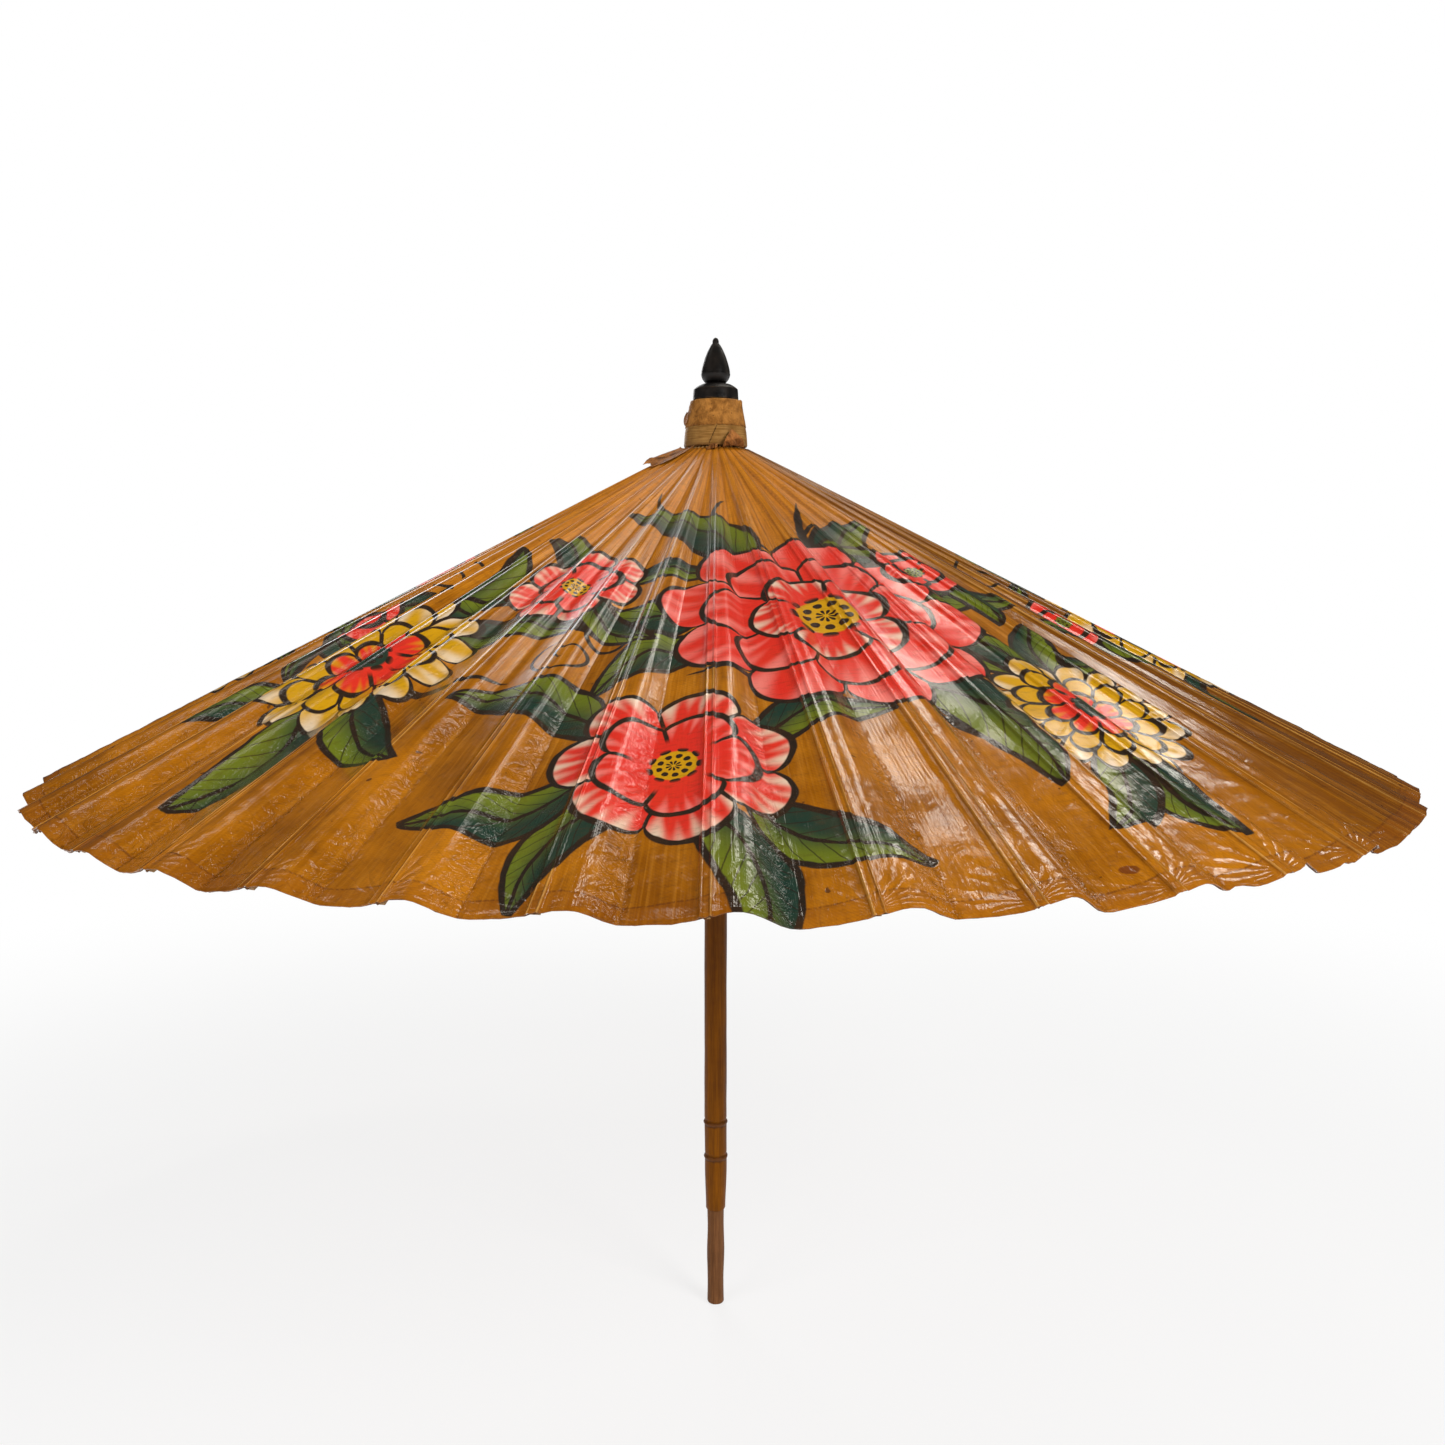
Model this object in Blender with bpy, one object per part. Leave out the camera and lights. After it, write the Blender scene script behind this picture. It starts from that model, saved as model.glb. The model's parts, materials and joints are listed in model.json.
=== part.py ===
"""An oil paper umbrella, open: a bamboo shaft on a wooden dowel, a turned head with a black finial, and a
pleated paper canopy on bamboo ribs, which a runner on the shaft raises and folds through stretchers.

Metres, +Z up. The origin is the centre of the dowel's bottom face, and -Y is the front.
Every third rib is a hinged piece with its own stretcher and its own panel of the canopy. The two ribs
between them are glued to that panel, so the panel holds them.
"""

import math

import bmesh
import bpy
from mathutils import Matrix, Vector

# Counts
PLEATS = 42
PLEATS_PER_PANEL = 3
PANELS = PLEATS // PLEATS_PER_PANEL
ROUND_SIDES = 32
SMALL_SIDES = 24
EYE_SIDES = 8
PIN_SIDES = 6

# Clearances
GAP = 0.0003
SIDE_GAP = 0.0002

# Dowel and shaft
DOWEL_RADIUS = 0.00595
DOWEL_LENGTH = 0.0712
SPIGOT_LENGTH = 0.045
SHAFT_RADIUS = 0.0078
SHAFT_END_RADIUS = 0.0068
SHAFT_BORE_RADIUS = 0.0056
SHAFT_LENGTH = 0.555
TAPER_LENGTH = 0.033
NODE_RING_HEIGHTS = (0.0392, 0.0646)
NODE_RING_SWELL = 0.0008
NODE_RING_HALF = 0.0016

# Head
HUB_CAP = 0.0063
HUB_WRAP_HEIGHT = 0.0175
HUB_BAND_HEIGHT = 0.0138
HUB_TEETH_HEIGHT = 0.0135
HUB_TOP_RADIUS = 0.01625
HUB_MIDDLE_RADIUS = 0.0194
HUB_BAND_RADIUS = 0.0209
HUB_CHAMFER = 0.0012
WRAP_THICKNESS = 0.0005

# Finial and its collar
COLLAR_RADIUS = 0.01475
COLLAR_SIDE = 0.0055
COLLAR_SLOPE = 0.0041
COLLAR_TOP_RADIUS = 0.0105
PEG_RADIUS = 0.0053
PEG_DEPTH = 0.030
BULB_FOOT_RADIUS = 0.0065
BULB_RADIUS = 0.0095
BULB_SWELL_HEIGHT = 0.0067
BULB_TAPER_HEIGHT = 0.0183
BULB_NECK_RADIUS = 0.0017
BULB_STEPS = 8
BEAD_RADIUS = 0.00195

# Ribs and their hinges in the head
CANOPY_SLOPE = math.radians(27.2)
HINGE_RADIUS = 0.0155
HINGE_DROP = 0.0008
EYE_RADIUS = 0.0019
THREAD_RADIUS = 0.00055
TOOTH_REACH = 0.0031
RIB_LENGTH = 0.4512
RIB_DEPTH = 0.0032
RIB_ROOT_WIDTH = 0.0012
RIB_NECK_WIDTH = 0.0022
RIB_TIP_WIDTH = 0.0038
RIB_ROOT_LENGTH = 0.008
RIB_NECK_AT = 0.020

# Stretchers, and the knuckles that they turn in under the ribs
KNUCKLE_AT = 0.180
KNUCKLE_DROP = 0.0042
EAR_THICKNESS = 0.00085
EAR_FOOT = 0.0034
PIN_RADIUS = 0.0006
STRETCHER_TIP_RADIUS = 0.0017
STRETCHER_DEPTH = 0.0030
STRETCHER_WIDTH = 0.0022
STRETCHER_BLADE = 0.0011
STRETCHER_BLADE_LENGTH = 0.010
STRETCHER_SHOULDER = 0.012

# Runner
RUNNER_TOP = 0.0030
RUNNER_FLANGE = 0.009
RUNNER_NECK_RADIUS = 0.0125
RUNNER_NECK_LENGTH = 0.036

# Catch in the shaft, under the runner
CATCH_LENGTH = 0.044
CATCH_WIDTH = 0.0020
CATCH_NOSE = 0.0025
CATCH_TIP_DEPTH = 0.0028
CATCH_PIN_RADIUS = 0.0008
CATCH_PIN_OFFSET = 0.0057
CATCH_PIN_LENGTH = 0.0100
CATCH_EYE_RADIUS = 0.0019

# Canopy
PAPER = 0.0006
RIM_OVERHANG = 0.0036
PLEAT_SAG = 0.005
RIM_SCALLOP = 0.0025

# Heights that follow from the sizes
SHAFT_TOP = DOWEL_LENGTH + SHAFT_LENGTH
HUB_TOP = SHAFT_TOP + GAP + HUB_CAP
BAND_TOP = HUB_TOP - HUB_WRAP_HEIGHT
BAND_BOTTOM = BAND_TOP - HUB_BAND_HEIGHT
HINGE_HEIGHT = BAND_BOTTOM - HINGE_DROP
COLLAR_BOTTOM = HUB_TOP + GAP
COLLAR_TOP = COLLAR_BOTTOM + COLLAR_SIDE + COLLAR_SLOPE

# The linkage is a kite: rib hinge to knuckle is as long as knuckle to runner
PLEAT_ANGLE = 2 * math.pi / PLEATS
FRONT = -math.pi / 2
LINK = math.hypot(KNUCKLE_AT, KNUCKLE_DROP)
LINK_SLOPE = CANOPY_SLOPE + math.atan2(KNUCKLE_DROP, KNUCKLE_AT)
KNUCKLE_RADIUS = HINGE_RADIUS + LINK * math.cos(LINK_SLOPE)
KNUCKLE_HEIGHT = HINGE_HEIGHT - LINK * math.sin(LINK_SLOPE)
RUNNER_HEIGHT = HINGE_HEIGHT - 2 * LINK * math.sin(LINK_SLOPE)
RUNNER_BOTTOM = RUNNER_HEIGHT - RUNNER_FLANGE - RUNNER_NECK_LENGTH
SLOT_WIDTH = RIB_ROOT_WIDTH + 2 * SIDE_GAP
SLOT_INNER_RADIUS = HINGE_RADIUS - EYE_RADIUS - GAP
SLOT_RISE = EYE_RADIUS + GAP
TOOTH_RADIUS = HINGE_RADIUS + TOOTH_REACH
GROOVE_HALF = THREAD_RADIUS + GAP
GROOVE_RADIUS = HINGE_RADIUS - THREAD_RADIUS - GAP
EYE_HOLE_RADIUS = (THREAD_RADIUS + GAP) / math.cos(math.pi / EYE_SIDES)
PIN_HOLE_RADIUS = (PIN_RADIUS + GAP) / math.cos(math.pi / EYE_SIDES)
KNUCKLE_SLOT = STRETCHER_BLADE + 2 * SIDE_GAP
KNUCKLE_WIDTH = KNUCKLE_SLOT + 2 * EAR_THICKNESS
RUNNER_BORE_RADIUS = SHAFT_RADIUS + GAP
RIM_REACH = RIB_LENGTH + RIM_OVERHANG
CATCH_PIN_HEIGHT = RUNNER_BOTTOM - GAP - CATCH_LENGTH


def clear_scene():
    for obj in list(bpy.data.objects):
        bpy.data.objects.remove(obj)


def make_material(name, colour, roughness):
    material = bpy.data.materials.new(name)
    material.use_nodes = True
    shader = material.node_tree.nodes["Principled BSDF"]
    shader.inputs["Base Color"].default_value = (*colour, 1)
    shader.inputs["Roughness"].default_value = roughness
    material.diffuse_color = (*colour, 1)
    return material


def make_materials():
    return {
        "bamboo": make_material("bamboo", (0.30, 0.16, 0.07), 0.45),
        "rib_bamboo": make_material("rib_bamboo", (0.55, 0.38, 0.20), 0.55),
        "dowel_wood": make_material("dowel_wood", (0.42, 0.24, 0.16), 0.55),
        "pale_wood": make_material("pale_wood", (0.68, 0.50, 0.33), 0.60),
        "lacquer": make_material("lacquer", (0.012, 0.011, 0.010), 0.25),
        "wrap_paper": make_material("wrap_paper", (0.42, 0.24, 0.10), 0.70),
        "oiled_paper": make_material("oiled_paper", (0.52, 0.22, 0.045), 0.35),
        "thread": make_material("thread", (0.30, 0.20, 0.12), 0.80),
    }


def finish_mesh(name, bm):
    bmesh.ops.recalc_face_normals(bm, faces=bm.faces)
    mesh = bpy.data.meshes.new(name)
    bm.to_mesh(mesh)
    bm.free()
    return mesh


def add_object(name, mesh, material=None):
    obj = bpy.data.objects.new(name, mesh)
    bpy.context.scene.collection.objects.link(obj)
    if material and not mesh.materials:
        mesh.materials.append(material)
    return obj


def add_pivot(name, place, parent=None):
    """An empty on a joint's axis, for the pieces that turn or slide there."""
    pivot = bpy.data.objects.new(name, None)
    pivot.empty_display_size = RUNNER_TOP
    bpy.context.scene.collection.objects.link(pivot)
    pivot.location = place
    pivot.parent = parent
    return pivot


def hold(obj, pivot):
    """Parents an object that is modelled in place to a pivot, and leaves it where it is."""
    obj.parent = pivot
    obj.matrix_parent_inverse = Matrix.Translation(pivot.location).inverted()


def make_helper(obj):
    obj.hide_render = True
    obj.display_type = "WIRE"
    return obj


def smooth(mesh):
    mesh.shade_smooth()
    mesh.set_sharp_from_angle(angle=math.radians(35))


def lathe(name, profile, sides, closed=True):
    """Turns (radius, height) points about Z. A closed profile is a ring, an open one starts and ends on Z."""
    bm = bmesh.new()
    points = [bm.verts.new((radius, 0, height)) for radius, height in profile]
    edges = [bm.edges.new(pair) for pair in zip(points, points[1:])]
    if closed:
        edges.append(bm.edges.new((points[-1], points[0])))
    bmesh.ops.spin(
        bm,
        geom=points + edges,
        cent=(0, 0, 0),
        axis=(0, 0, 1),
        angle=2 * math.pi,
        steps=sides,
        use_merge=True,
    )
    bmesh.ops.remove_doubles(bm, verts=bm.verts, dist=1e-6)
    mesh = finish_mesh(name, bm)
    smooth(mesh)
    return mesh


def arc(centre, radius, start, end, steps):
    """Points on an arc in a plate's own plane, from one angle in degrees to another."""
    angles = [math.radians(start + (end - start) * i / steps) for i in range(steps + 1)]
    return [(centre[0] + radius * math.cos(a), centre[1] + radius * math.sin(a)) for a in angles]


def ring(centre, radius, sides):
    """A round hole's outline, with flats square to the axes."""
    half = 180 / sides
    return arc(centre, radius, half, 360 + half, sides)[:-1]


def plate(name, outline, holes, width_at, offset=0):
    """A flat piece in the XZ plane with holes. Its width along Y follows x, about the given offset."""
    bm = bmesh.new()
    edges = []
    for loop in [outline, *holes]:
        points = [bm.verts.new((x, 0, z)) for x, z in loop]
        edges += [bm.edges.new(pair) for pair in zip(points, points[1:] + points[:1])]
    filled = bmesh.ops.triangle_fill(bm, use_beauty=True, use_dissolve=False, edges=edges)
    near = [v for v in bm.verts]
    faces = [f for f in filled["geom"] if isinstance(f, bmesh.types.BMFace)]
    far = bmesh.ops.extrude_face_region(bm, geom=faces, use_keep_orig=True)["geom"]
    for vert in near:
        vert.co.y = offset - width_at(vert.co.x) / 2
    for vert in far:
        if isinstance(vert, bmesh.types.BMVert):
            vert.co.y = offset + width_at(vert.co.x) / 2
    return finish_mesh(name, bm)


def box(name, low, high):
    bm = bmesh.new()
    bmesh.ops.create_cube(bm, size=1)
    for vert in bm.verts:
        vert.co = [a + (b - a) * (c + 0.5) for a, b, c in zip(low, high, vert.co)]
    return finish_mesh(name, bm)


def rod(name, radius, length, sides):
    """A round rod along Y, centred on the origin."""
    bm = bmesh.new()
    turn = Matrix.Rotation(math.pi / 2, 4, "X")
    bmesh.ops.create_cone(
        bm, cap_ends=True, segments=sides, radius1=radius, radius2=radius, depth=length, matrix=turn
    )
    return finish_mesh(name, bm)


def combine(obj, tool, operation):
    modifier = obj.modifiers.new(operation.lower(), "BOOLEAN")
    modifier.operation = operation
    modifier.solver = "EXACT"
    modifier.object = make_helper(tool)


def baked(obj, name):
    """The mesh of an object with its modifiers done, for several objects to share. The object goes."""
    graph = bpy.context.evaluated_depsgraph_get()
    mesh = bpy.data.meshes.new_from_object(obj.evaluated_get(graph))
    mesh.name = name
    tools = [m.object for m in obj.modifiers]
    for done in [obj, *tools]:
        bpy.data.objects.remove(done)
    return mesh


def steps(*knots):
    """A function of x that runs straight between (x, value) knots and stays level past the ends."""

    def value(x):
        for (x0, v0), (x1, v1) in zip(knots, knots[1:]):
            if x <= x1:
                return v0 + (v1 - v0) * max(0, x - x0) / (x1 - x0)
        return knots[-1][1]

    return value


rib_width = steps(
    (RIB_ROOT_LENGTH, RIB_ROOT_WIDTH),
    (RIB_NECK_AT, RIB_NECK_WIDTH),
    (RIB_LENGTH, RIB_TIP_WIDTH),
)


def azimuth(panel):
    return FRONT + panel * PLEATS_PER_PANEL * PLEAT_ANGLE


def around(radius, height, angle):
    return Vector((radius * math.cos(angle), radius * math.sin(angle), height))


def eye_end(radius, half_depth):
    """Angle at which a round eye runs into the edges of its bar, in degrees."""
    return math.degrees(math.asin(half_depth / radius))


def make_dowel(materials):
    spigot_radius = SHAFT_BORE_RADIUS - GAP
    shoulder = DOWEL_LENGTH - GAP
    profile = [
        (0, 0),
        (DOWEL_RADIUS, 0),
        (DOWEL_RADIUS, shoulder),
        (spigot_radius, shoulder),
        (spigot_radius, DOWEL_LENGTH + SPIGOT_LENGTH),
        (0, DOWEL_LENGTH + SPIGOT_LENGTH),
    ]
    add_object("grip_dowel", lathe("grip_dowel", profile, SMALL_SIDES, False), materials["dowel_wood"])


def make_shaft(materials):
    """Bamboo tube with two node rings, a slot for the catch and a hole for its pin."""
    outer = [(SHAFT_END_RADIUS, DOWEL_LENGTH), (SHAFT_RADIUS, DOWEL_LENGTH + TAPER_LENGTH)]
    for rise in NODE_RING_HEIGHTS:
        height = DOWEL_LENGTH + rise
        outer += [
            (SHAFT_RADIUS, height - NODE_RING_HALF),
            (SHAFT_RADIUS + NODE_RING_SWELL, height),
            (SHAFT_RADIUS, height + NODE_RING_HALF),
        ]
    outer.append((SHAFT_RADIUS, SHAFT_TOP))
    profile = outer + [(SHAFT_BORE_RADIUS, SHAFT_TOP), (SHAFT_BORE_RADIUS, DOWEL_LENGTH)]
    shaft = add_object("shaft", lathe("shaft", profile, ROUND_SIDES), materials["bamboo"])
    half = CATCH_WIDTH / 2 + GAP
    foot = CATCH_PIN_HEIGHT - CATCH_EYE_RADIUS - GAP
    top = CATCH_PIN_HEIGHT + CATCH_LENGTH + GAP
    slot = box("catch_slot", (0, -half, foot), (2 * SHAFT_RADIUS, half, top))
    combine(shaft, add_object("catch_slot", slot), "DIFFERENCE")
    hole = rod("catch_pin_hole", CATCH_PIN_RADIUS + GAP, 4 * SHAFT_RADIUS, EYE_SIDES)
    hole = add_object("catch_pin_hole", hole)
    hole.location = (CATCH_PIN_OFFSET, 0, CATCH_PIN_HEIGHT)
    combine(shaft, hole, "DIFFERENCE")


def slots(name, bottom, top):
    """Cutter for one radial slot per pleat, from the hinge eyes outwards."""
    bm = bmesh.new()
    middle = (SLOT_INNER_RADIUS + TOOTH_RADIUS + GAP) / 2
    size = (TOOTH_RADIUS + GAP - SLOT_INNER_RADIUS, SLOT_WIDTH, top - bottom)
    for pleat in range(PLEATS):
        turn = Matrix.Rotation(FRONT + pleat * PLEAT_ANGLE, 4, "Z")
        place = turn @ Matrix.Translation((middle, 0, (bottom + top) / 2))
        bmesh.ops.create_cube(bm, size=1, matrix=place @ Matrix.Diagonal((*size, 1)))
    return add_object(name, finish_mesh(name, bm))


def face_slots(obj):
    """Turns a lathe's flats to face the slots, so that each slot is cut into the middle of a flat."""
    obj.data.transform(Matrix.Rotation(FRONT + PLEAT_ANGLE / 2, 4, "Z"))


def groove(height):
    """Profile points of the thread's groove, from below to above."""
    return [
        (TOOTH_RADIUS, height - GROOVE_HALF),
        (GROOVE_RADIUS, height - GROOVE_HALF),
        (GROOVE_RADIUS, height + GROOVE_HALF),
        (TOOTH_RADIUS, height + GROOVE_HALF),
    ]


def make_head(materials):
    """Turned head with a slot for each rib, the paper left on its upper part, and the finial on top."""
    recess = WRAP_THICKNESS + GAP
    bore = SHAFT_RADIUS + GAP
    peg_hole = PEG_RADIUS + GAP
    teeth_bottom = BAND_BOTTOM - HUB_TEETH_HEIGHT
    profile = [
        (bore, teeth_bottom),
        (TOOTH_RADIUS, teeth_bottom),
        *groove(HINGE_HEIGHT)[:3],
        (TOOTH_RADIUS, min(HINGE_HEIGHT + GROOVE_HALF, BAND_BOTTOM)),
        (TOOTH_RADIUS, BAND_BOTTOM),
        (HUB_BAND_RADIUS - HUB_CHAMFER, BAND_BOTTOM),
        (HUB_BAND_RADIUS, BAND_BOTTOM + HUB_CHAMFER),
        (HUB_MIDDLE_RADIUS, BAND_TOP),
        (HUB_MIDDLE_RADIUS - recess, BAND_TOP),
        (HUB_TOP_RADIUS - recess, HUB_TOP),
        (peg_hole, HUB_TOP),
        (peg_hole, SHAFT_TOP + GAP),
        (bore, SHAFT_TOP + GAP),
    ]
    profile = [p for p, q in zip(profile, profile[1:] + profile[:1]) if p != q]
    hub = add_object("head_hub", lathe("head_hub", profile, PLEATS), materials["pale_wood"])
    face_slots(hub)
    cutter = slots("hub_slots", teeth_bottom - GAP, HINGE_HEIGHT + SLOT_RISE)
    combine(hub, cutter, "DIFFERENCE")
    wrap = [
        (HUB_MIDDLE_RADIUS - WRAP_THICKNESS, BAND_TOP + GAP),
        (HUB_MIDDLE_RADIUS, BAND_TOP + GAP),
        (HUB_TOP_RADIUS, HUB_TOP),
        (HUB_TOP_RADIUS - WRAP_THICKNESS, HUB_TOP),
    ]
    add_object("head_wrap", lathe("head_wrap", wrap, ROUND_SIDES), materials["wrap_paper"])
    collar = [
        (peg_hole, COLLAR_BOTTOM),
        (COLLAR_RADIUS, COLLAR_BOTTOM),
        (COLLAR_RADIUS, COLLAR_BOTTOM + COLLAR_SIDE),
        (COLLAR_TOP_RADIUS, COLLAR_TOP),
        (peg_hole, COLLAR_TOP),
    ]
    add_object("finial_collar", lathe("finial_collar", collar, ROUND_SIDES), materials["lacquer"])
    make_finial(materials)


def make_finial(materials):
    """Black teardrop knob with a bead on its tip, on a peg that goes down into the shaft's bore."""
    foot = COLLAR_TOP + GAP
    widest = foot + BULB_SWELL_HEIGHT
    neck = widest + BULB_TAPER_HEIGHT
    peg = SHAFT_TOP - PEG_DEPTH
    profile = [(0, peg), (PEG_RADIUS, peg), (PEG_RADIUS, foot)]
    for i in range(BULB_STEPS + 1):
        share = i / BULB_STEPS
        swell = math.sin(share * math.pi / 2)
        profile.append((BULB_FOOT_RADIUS + (BULB_RADIUS - BULB_FOOT_RADIUS) * swell, foot + share * (widest - foot)))
    for i in range(1, BULB_STEPS + 1):
        share = i / BULB_STEPS
        shrink = math.cos(share * math.pi / 2)
        radius = BULB_NECK_RADIUS + (BULB_RADIUS - BULB_NECK_RADIUS) * shrink
        profile.append((radius, widest + share * (neck - widest)))
    sink = math.sqrt(BEAD_RADIUS**2 - BULB_NECK_RADIUS**2)
    start = -math.degrees(math.asin(sink / BEAD_RADIUS))
    profile += arc((0, neck + sink), BEAD_RADIUS, start, 90, BULB_STEPS)[1:-1]
    profile.append((0, neck + sink + BEAD_RADIUS))
    add_object("finial", lathe("finial", profile, SMALL_SIDES, False), materials["lacquer"])


def tie_thread(name, height, materials):
    """Ring of thread through the eyes of the ribs, or of the stretchers."""
    profile = ring((HINGE_RADIUS, height), THREAD_RADIUS, PIN_SIDES)
    return add_object(name, lathe(name, profile, PLEATS), materials["thread"])


def rib_mesh():
    """Bamboo strip along X from its hinge eye, with two ears under it that hold the stretcher's pin."""
    half = RIB_DEPTH / 2
    turn = eye_end(EYE_RADIUS, half)
    outline = [
        *arc((0, 0), EYE_RADIUS, turn, 360 - turn, EYE_SIDES),
        (RIB_ROOT_LENGTH, -half),
        (RIB_NECK_AT, -half),
        (RIB_LENGTH, -half),
        (RIB_LENGTH, half),
        (RIB_NECK_AT, half),
        (RIB_ROOT_LENGTH, half),
    ]
    eye = ring((0, 0), EYE_HOLE_RADIUS, EYE_SIDES)
    bar = add_object("rib_bar", plate("rib_bar", outline, [eye], rib_width))
    pivot = (KNUCKLE_AT, -KNUCKLE_DROP)
    inside = -half / 2
    ear = [
        (KNUCKLE_AT + EAR_FOOT, inside),
        (KNUCKLE_AT - EAR_FOOT, inside),
        *arc(pivot, EYE_RADIUS, 180, 360, EYE_SIDES // 2),
    ]
    hole = ring(pivot, PIN_HOLE_RADIUS, EYE_SIDES)
    for side in (-1, 1):
        offset = side * (KNUCKLE_SLOT + EAR_THICKNESS) / 2
        mesh = plate("rib_ear", ear, [hole], lambda x: EAR_THICKNESS, offset)
        combine(bar, add_object("rib_ear", mesh), "UNION")
    return baked(bar, "rib")


def stretcher_mesh():
    """Bamboo strip along X from its pin in the knuckle to the eye in the runner."""
    half = STRETCHER_DEPTH / 2
    tip = eye_end(STRETCHER_TIP_RADIUS, half)
    eye = eye_end(EYE_RADIUS, half)
    shoulder = STRETCHER_BLADE_LENGTH + STRETCHER_SHOULDER
    marks = (STRETCHER_BLADE_LENGTH, shoulder, LINK - shoulder, LINK - STRETCHER_BLADE_LENGTH)
    outline = [
        *arc((0, 0), STRETCHER_TIP_RADIUS, tip, 360 - tip, EYE_SIDES),
        *[(x, -half) for x in marks],
        *arc((LINK, 0), EYE_RADIUS, eye - 180, 180 - eye, EYE_SIDES),
        *[(x, half) for x in reversed(marks)],
    ]
    width = steps(
        (marks[0], STRETCHER_BLADE),
        (marks[1], STRETCHER_WIDTH),
        (marks[2], STRETCHER_WIDTH),
        (marks[3], RIB_ROOT_WIDTH),
    )
    hole = ring((LINK, 0), EYE_HOLE_RADIUS, EYE_SIDES)
    bar = add_object("stretcher_bar", plate("stretcher_bar", outline, [hole], width))
    pin = rod("stretcher_pin", PIN_RADIUS, KNUCKLE_WIDTH, PIN_SIDES)
    combine(bar, add_object("stretcher_pin", pin), "UNION")
    return baked(bar, "stretcher")


def slope_point(along, lift, angle, aside):
    """A point at a distance along a rib's middle line and above it, from the hinge of the panel's own rib."""
    radius = HINGE_RADIUS + along * math.cos(CANOPY_SLOPE) + lift * math.sin(CANOPY_SLOPE)
    height = lift * math.cos(CANOPY_SLOPE) - along * math.sin(CANOPY_SLOPE)
    x = radius * math.cos(angle) - aside * math.sin(angle)
    y = radius * math.sin(angle) + aside * math.cos(angle)
    return Vector((x - HINGE_RADIUS, y, height))


def panel_section(share):
    """A canopy panel's points at its inner edge (0) or its rim (1): the paper's top, its underside, and the
    feet of the glued ribs, each under the underside point where its left side meets the paper."""
    low = RIB_DEPTH / 2 + GAP
    high = low + PAPER
    inner = (HUB_BAND_RADIUS + GAP - HINGE_RADIUS) / math.cos(CANOPY_SLOPE)
    ridge_at = inner + share * (RIM_REACH - inner)
    valley_at = ridge_at - share * RIM_SCALLOP
    sag = PLEAT_SAG * valley_at / RIM_REACH
    half = (RIB_NECK_WIDTH + share * (RIB_TIP_WIDTH - RIB_NECK_WIDTH)) / 2
    last = 2 * PLEATS_PER_PANEL
    edges = {0: GAP / 2, last: -GAP / 2}
    top, under, feet = [], [], {}
    for step in range(last + 1):
        angle = (step - PLEATS_PER_PANEL) / 2 * PLEAT_ANGLE
        if step % 2 == 0:
            aside = edges.get(step, 0)
            top.append(slope_point(valley_at, high - sag, angle, aside))
            under.append(slope_point(valley_at, low - sag, angle, aside))
            continue
        sides = (-half, half)
        if step != PLEATS_PER_PANEL:
            feet[len(under)] = [slope_point(ridge_at, -RIB_DEPTH / 2, angle, s) for s in sides]
        top += [slope_point(ridge_at, high, angle, s) for s in sides]
        under += [slope_point(ridge_at, low, angle, s) for s in sides]
    return top, under, feet


def panel_end(bm, share):
    """Closes one end of a panel and returns the loop round it."""
    top, under, feet = panel_section(share)
    top = [bm.verts.new(p) for p in top]
    under = [bm.verts.new(p) for p in under]
    feet = {i: [bm.verts.new(p) for p in pair] for i, pair in feet.items()}
    for i in range(len(top) - 1):
        bm.faces.new((top[i], top[i + 1], under[i + 1], under[i]))
    for i, (left, right) in feet.items():
        bm.faces.new((under[i], under[i + 1], right, left))
    loop = list(top)
    for i in reversed(range(len(under))):
        loop.append(under[i])
        loop += reversed(feet.get(i - 1, []))
    return loop


def panel_mesh():
    bm = bmesh.new()
    inner = panel_end(bm, 0)
    rim = panel_end(bm, 1)
    for i in range(len(inner)):
        bm.faces.new((inner[i - 1], inner[i], rim[i], rim[i - 1]))
    bmesh.ops.triangulate(bm, faces=bm.faces)
    return finish_mesh("canopy_panel", bm)


def make_canopy(materials):
    """One rib, stretcher and canopy panel for each third pleat."""
    rib = rib_mesh()
    stretcher = stretcher_mesh()
    panel = panel_mesh()
    for number in range(PANELS):
        angle = azimuth(number)
        tag = f"{number + 1:02d}"
        hinge = around(HINGE_RADIUS, HINGE_HEIGHT, angle)
        bar = add_object(f"rib_{tag}", rib, materials["rib_bamboo"])
        bar.location = hinge
        bar.rotation_euler = (0, CANOPY_SLOPE, angle)
        paper = add_object(f"canopy_panel_{tag}", panel, materials["oiled_paper"])
        paper.location = hinge
        paper.rotation_euler = (0, 0, angle)
        arm = add_object(f"stretcher_{tag}", stretcher, materials["rib_bamboo"])
        arm.location = around(KNUCKLE_RADIUS, KNUCKLE_HEIGHT, angle)
        arm.rotation_euler = (0, math.pi - LINK_SLOPE, angle)


def make_runner(materials):
    """Toothed ring that slides on the shaft, with a neck to hold it by, and the thread through its teeth."""
    top = RUNNER_HEIGHT + RUNNER_TOP
    flange_bottom = RUNNER_HEIGHT - RUNNER_FLANGE
    profile = [
        (RUNNER_BORE_RADIUS, RUNNER_BOTTOM),
        (RUNNER_NECK_RADIUS, RUNNER_BOTTOM),
        (RUNNER_NECK_RADIUS, flange_bottom),
        (TOOTH_RADIUS, flange_bottom),
        *groove(RUNNER_HEIGHT),
        (TOOTH_RADIUS, top),
        (RUNNER_BORE_RADIUS, top),
    ]
    runner = add_object("runner", lathe("runner", profile, PLEATS), materials["pale_wood"])
    face_slots(runner)
    cutter = slots("runner_slots", RUNNER_HEIGHT - SLOT_RISE, top + GAP)
    combine(runner, cutter, "DIFFERENCE")
    thread = tie_thread("runner_tie_thread", RUNNER_HEIGHT, materials)
    pivot = add_pivot("runner_pivot", around(HINGE_RADIUS, RUNNER_HEIGHT, azimuth(0)))
    hold(runner, pivot)
    hold(cutter, pivot)
    hold(thread, pivot)


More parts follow.
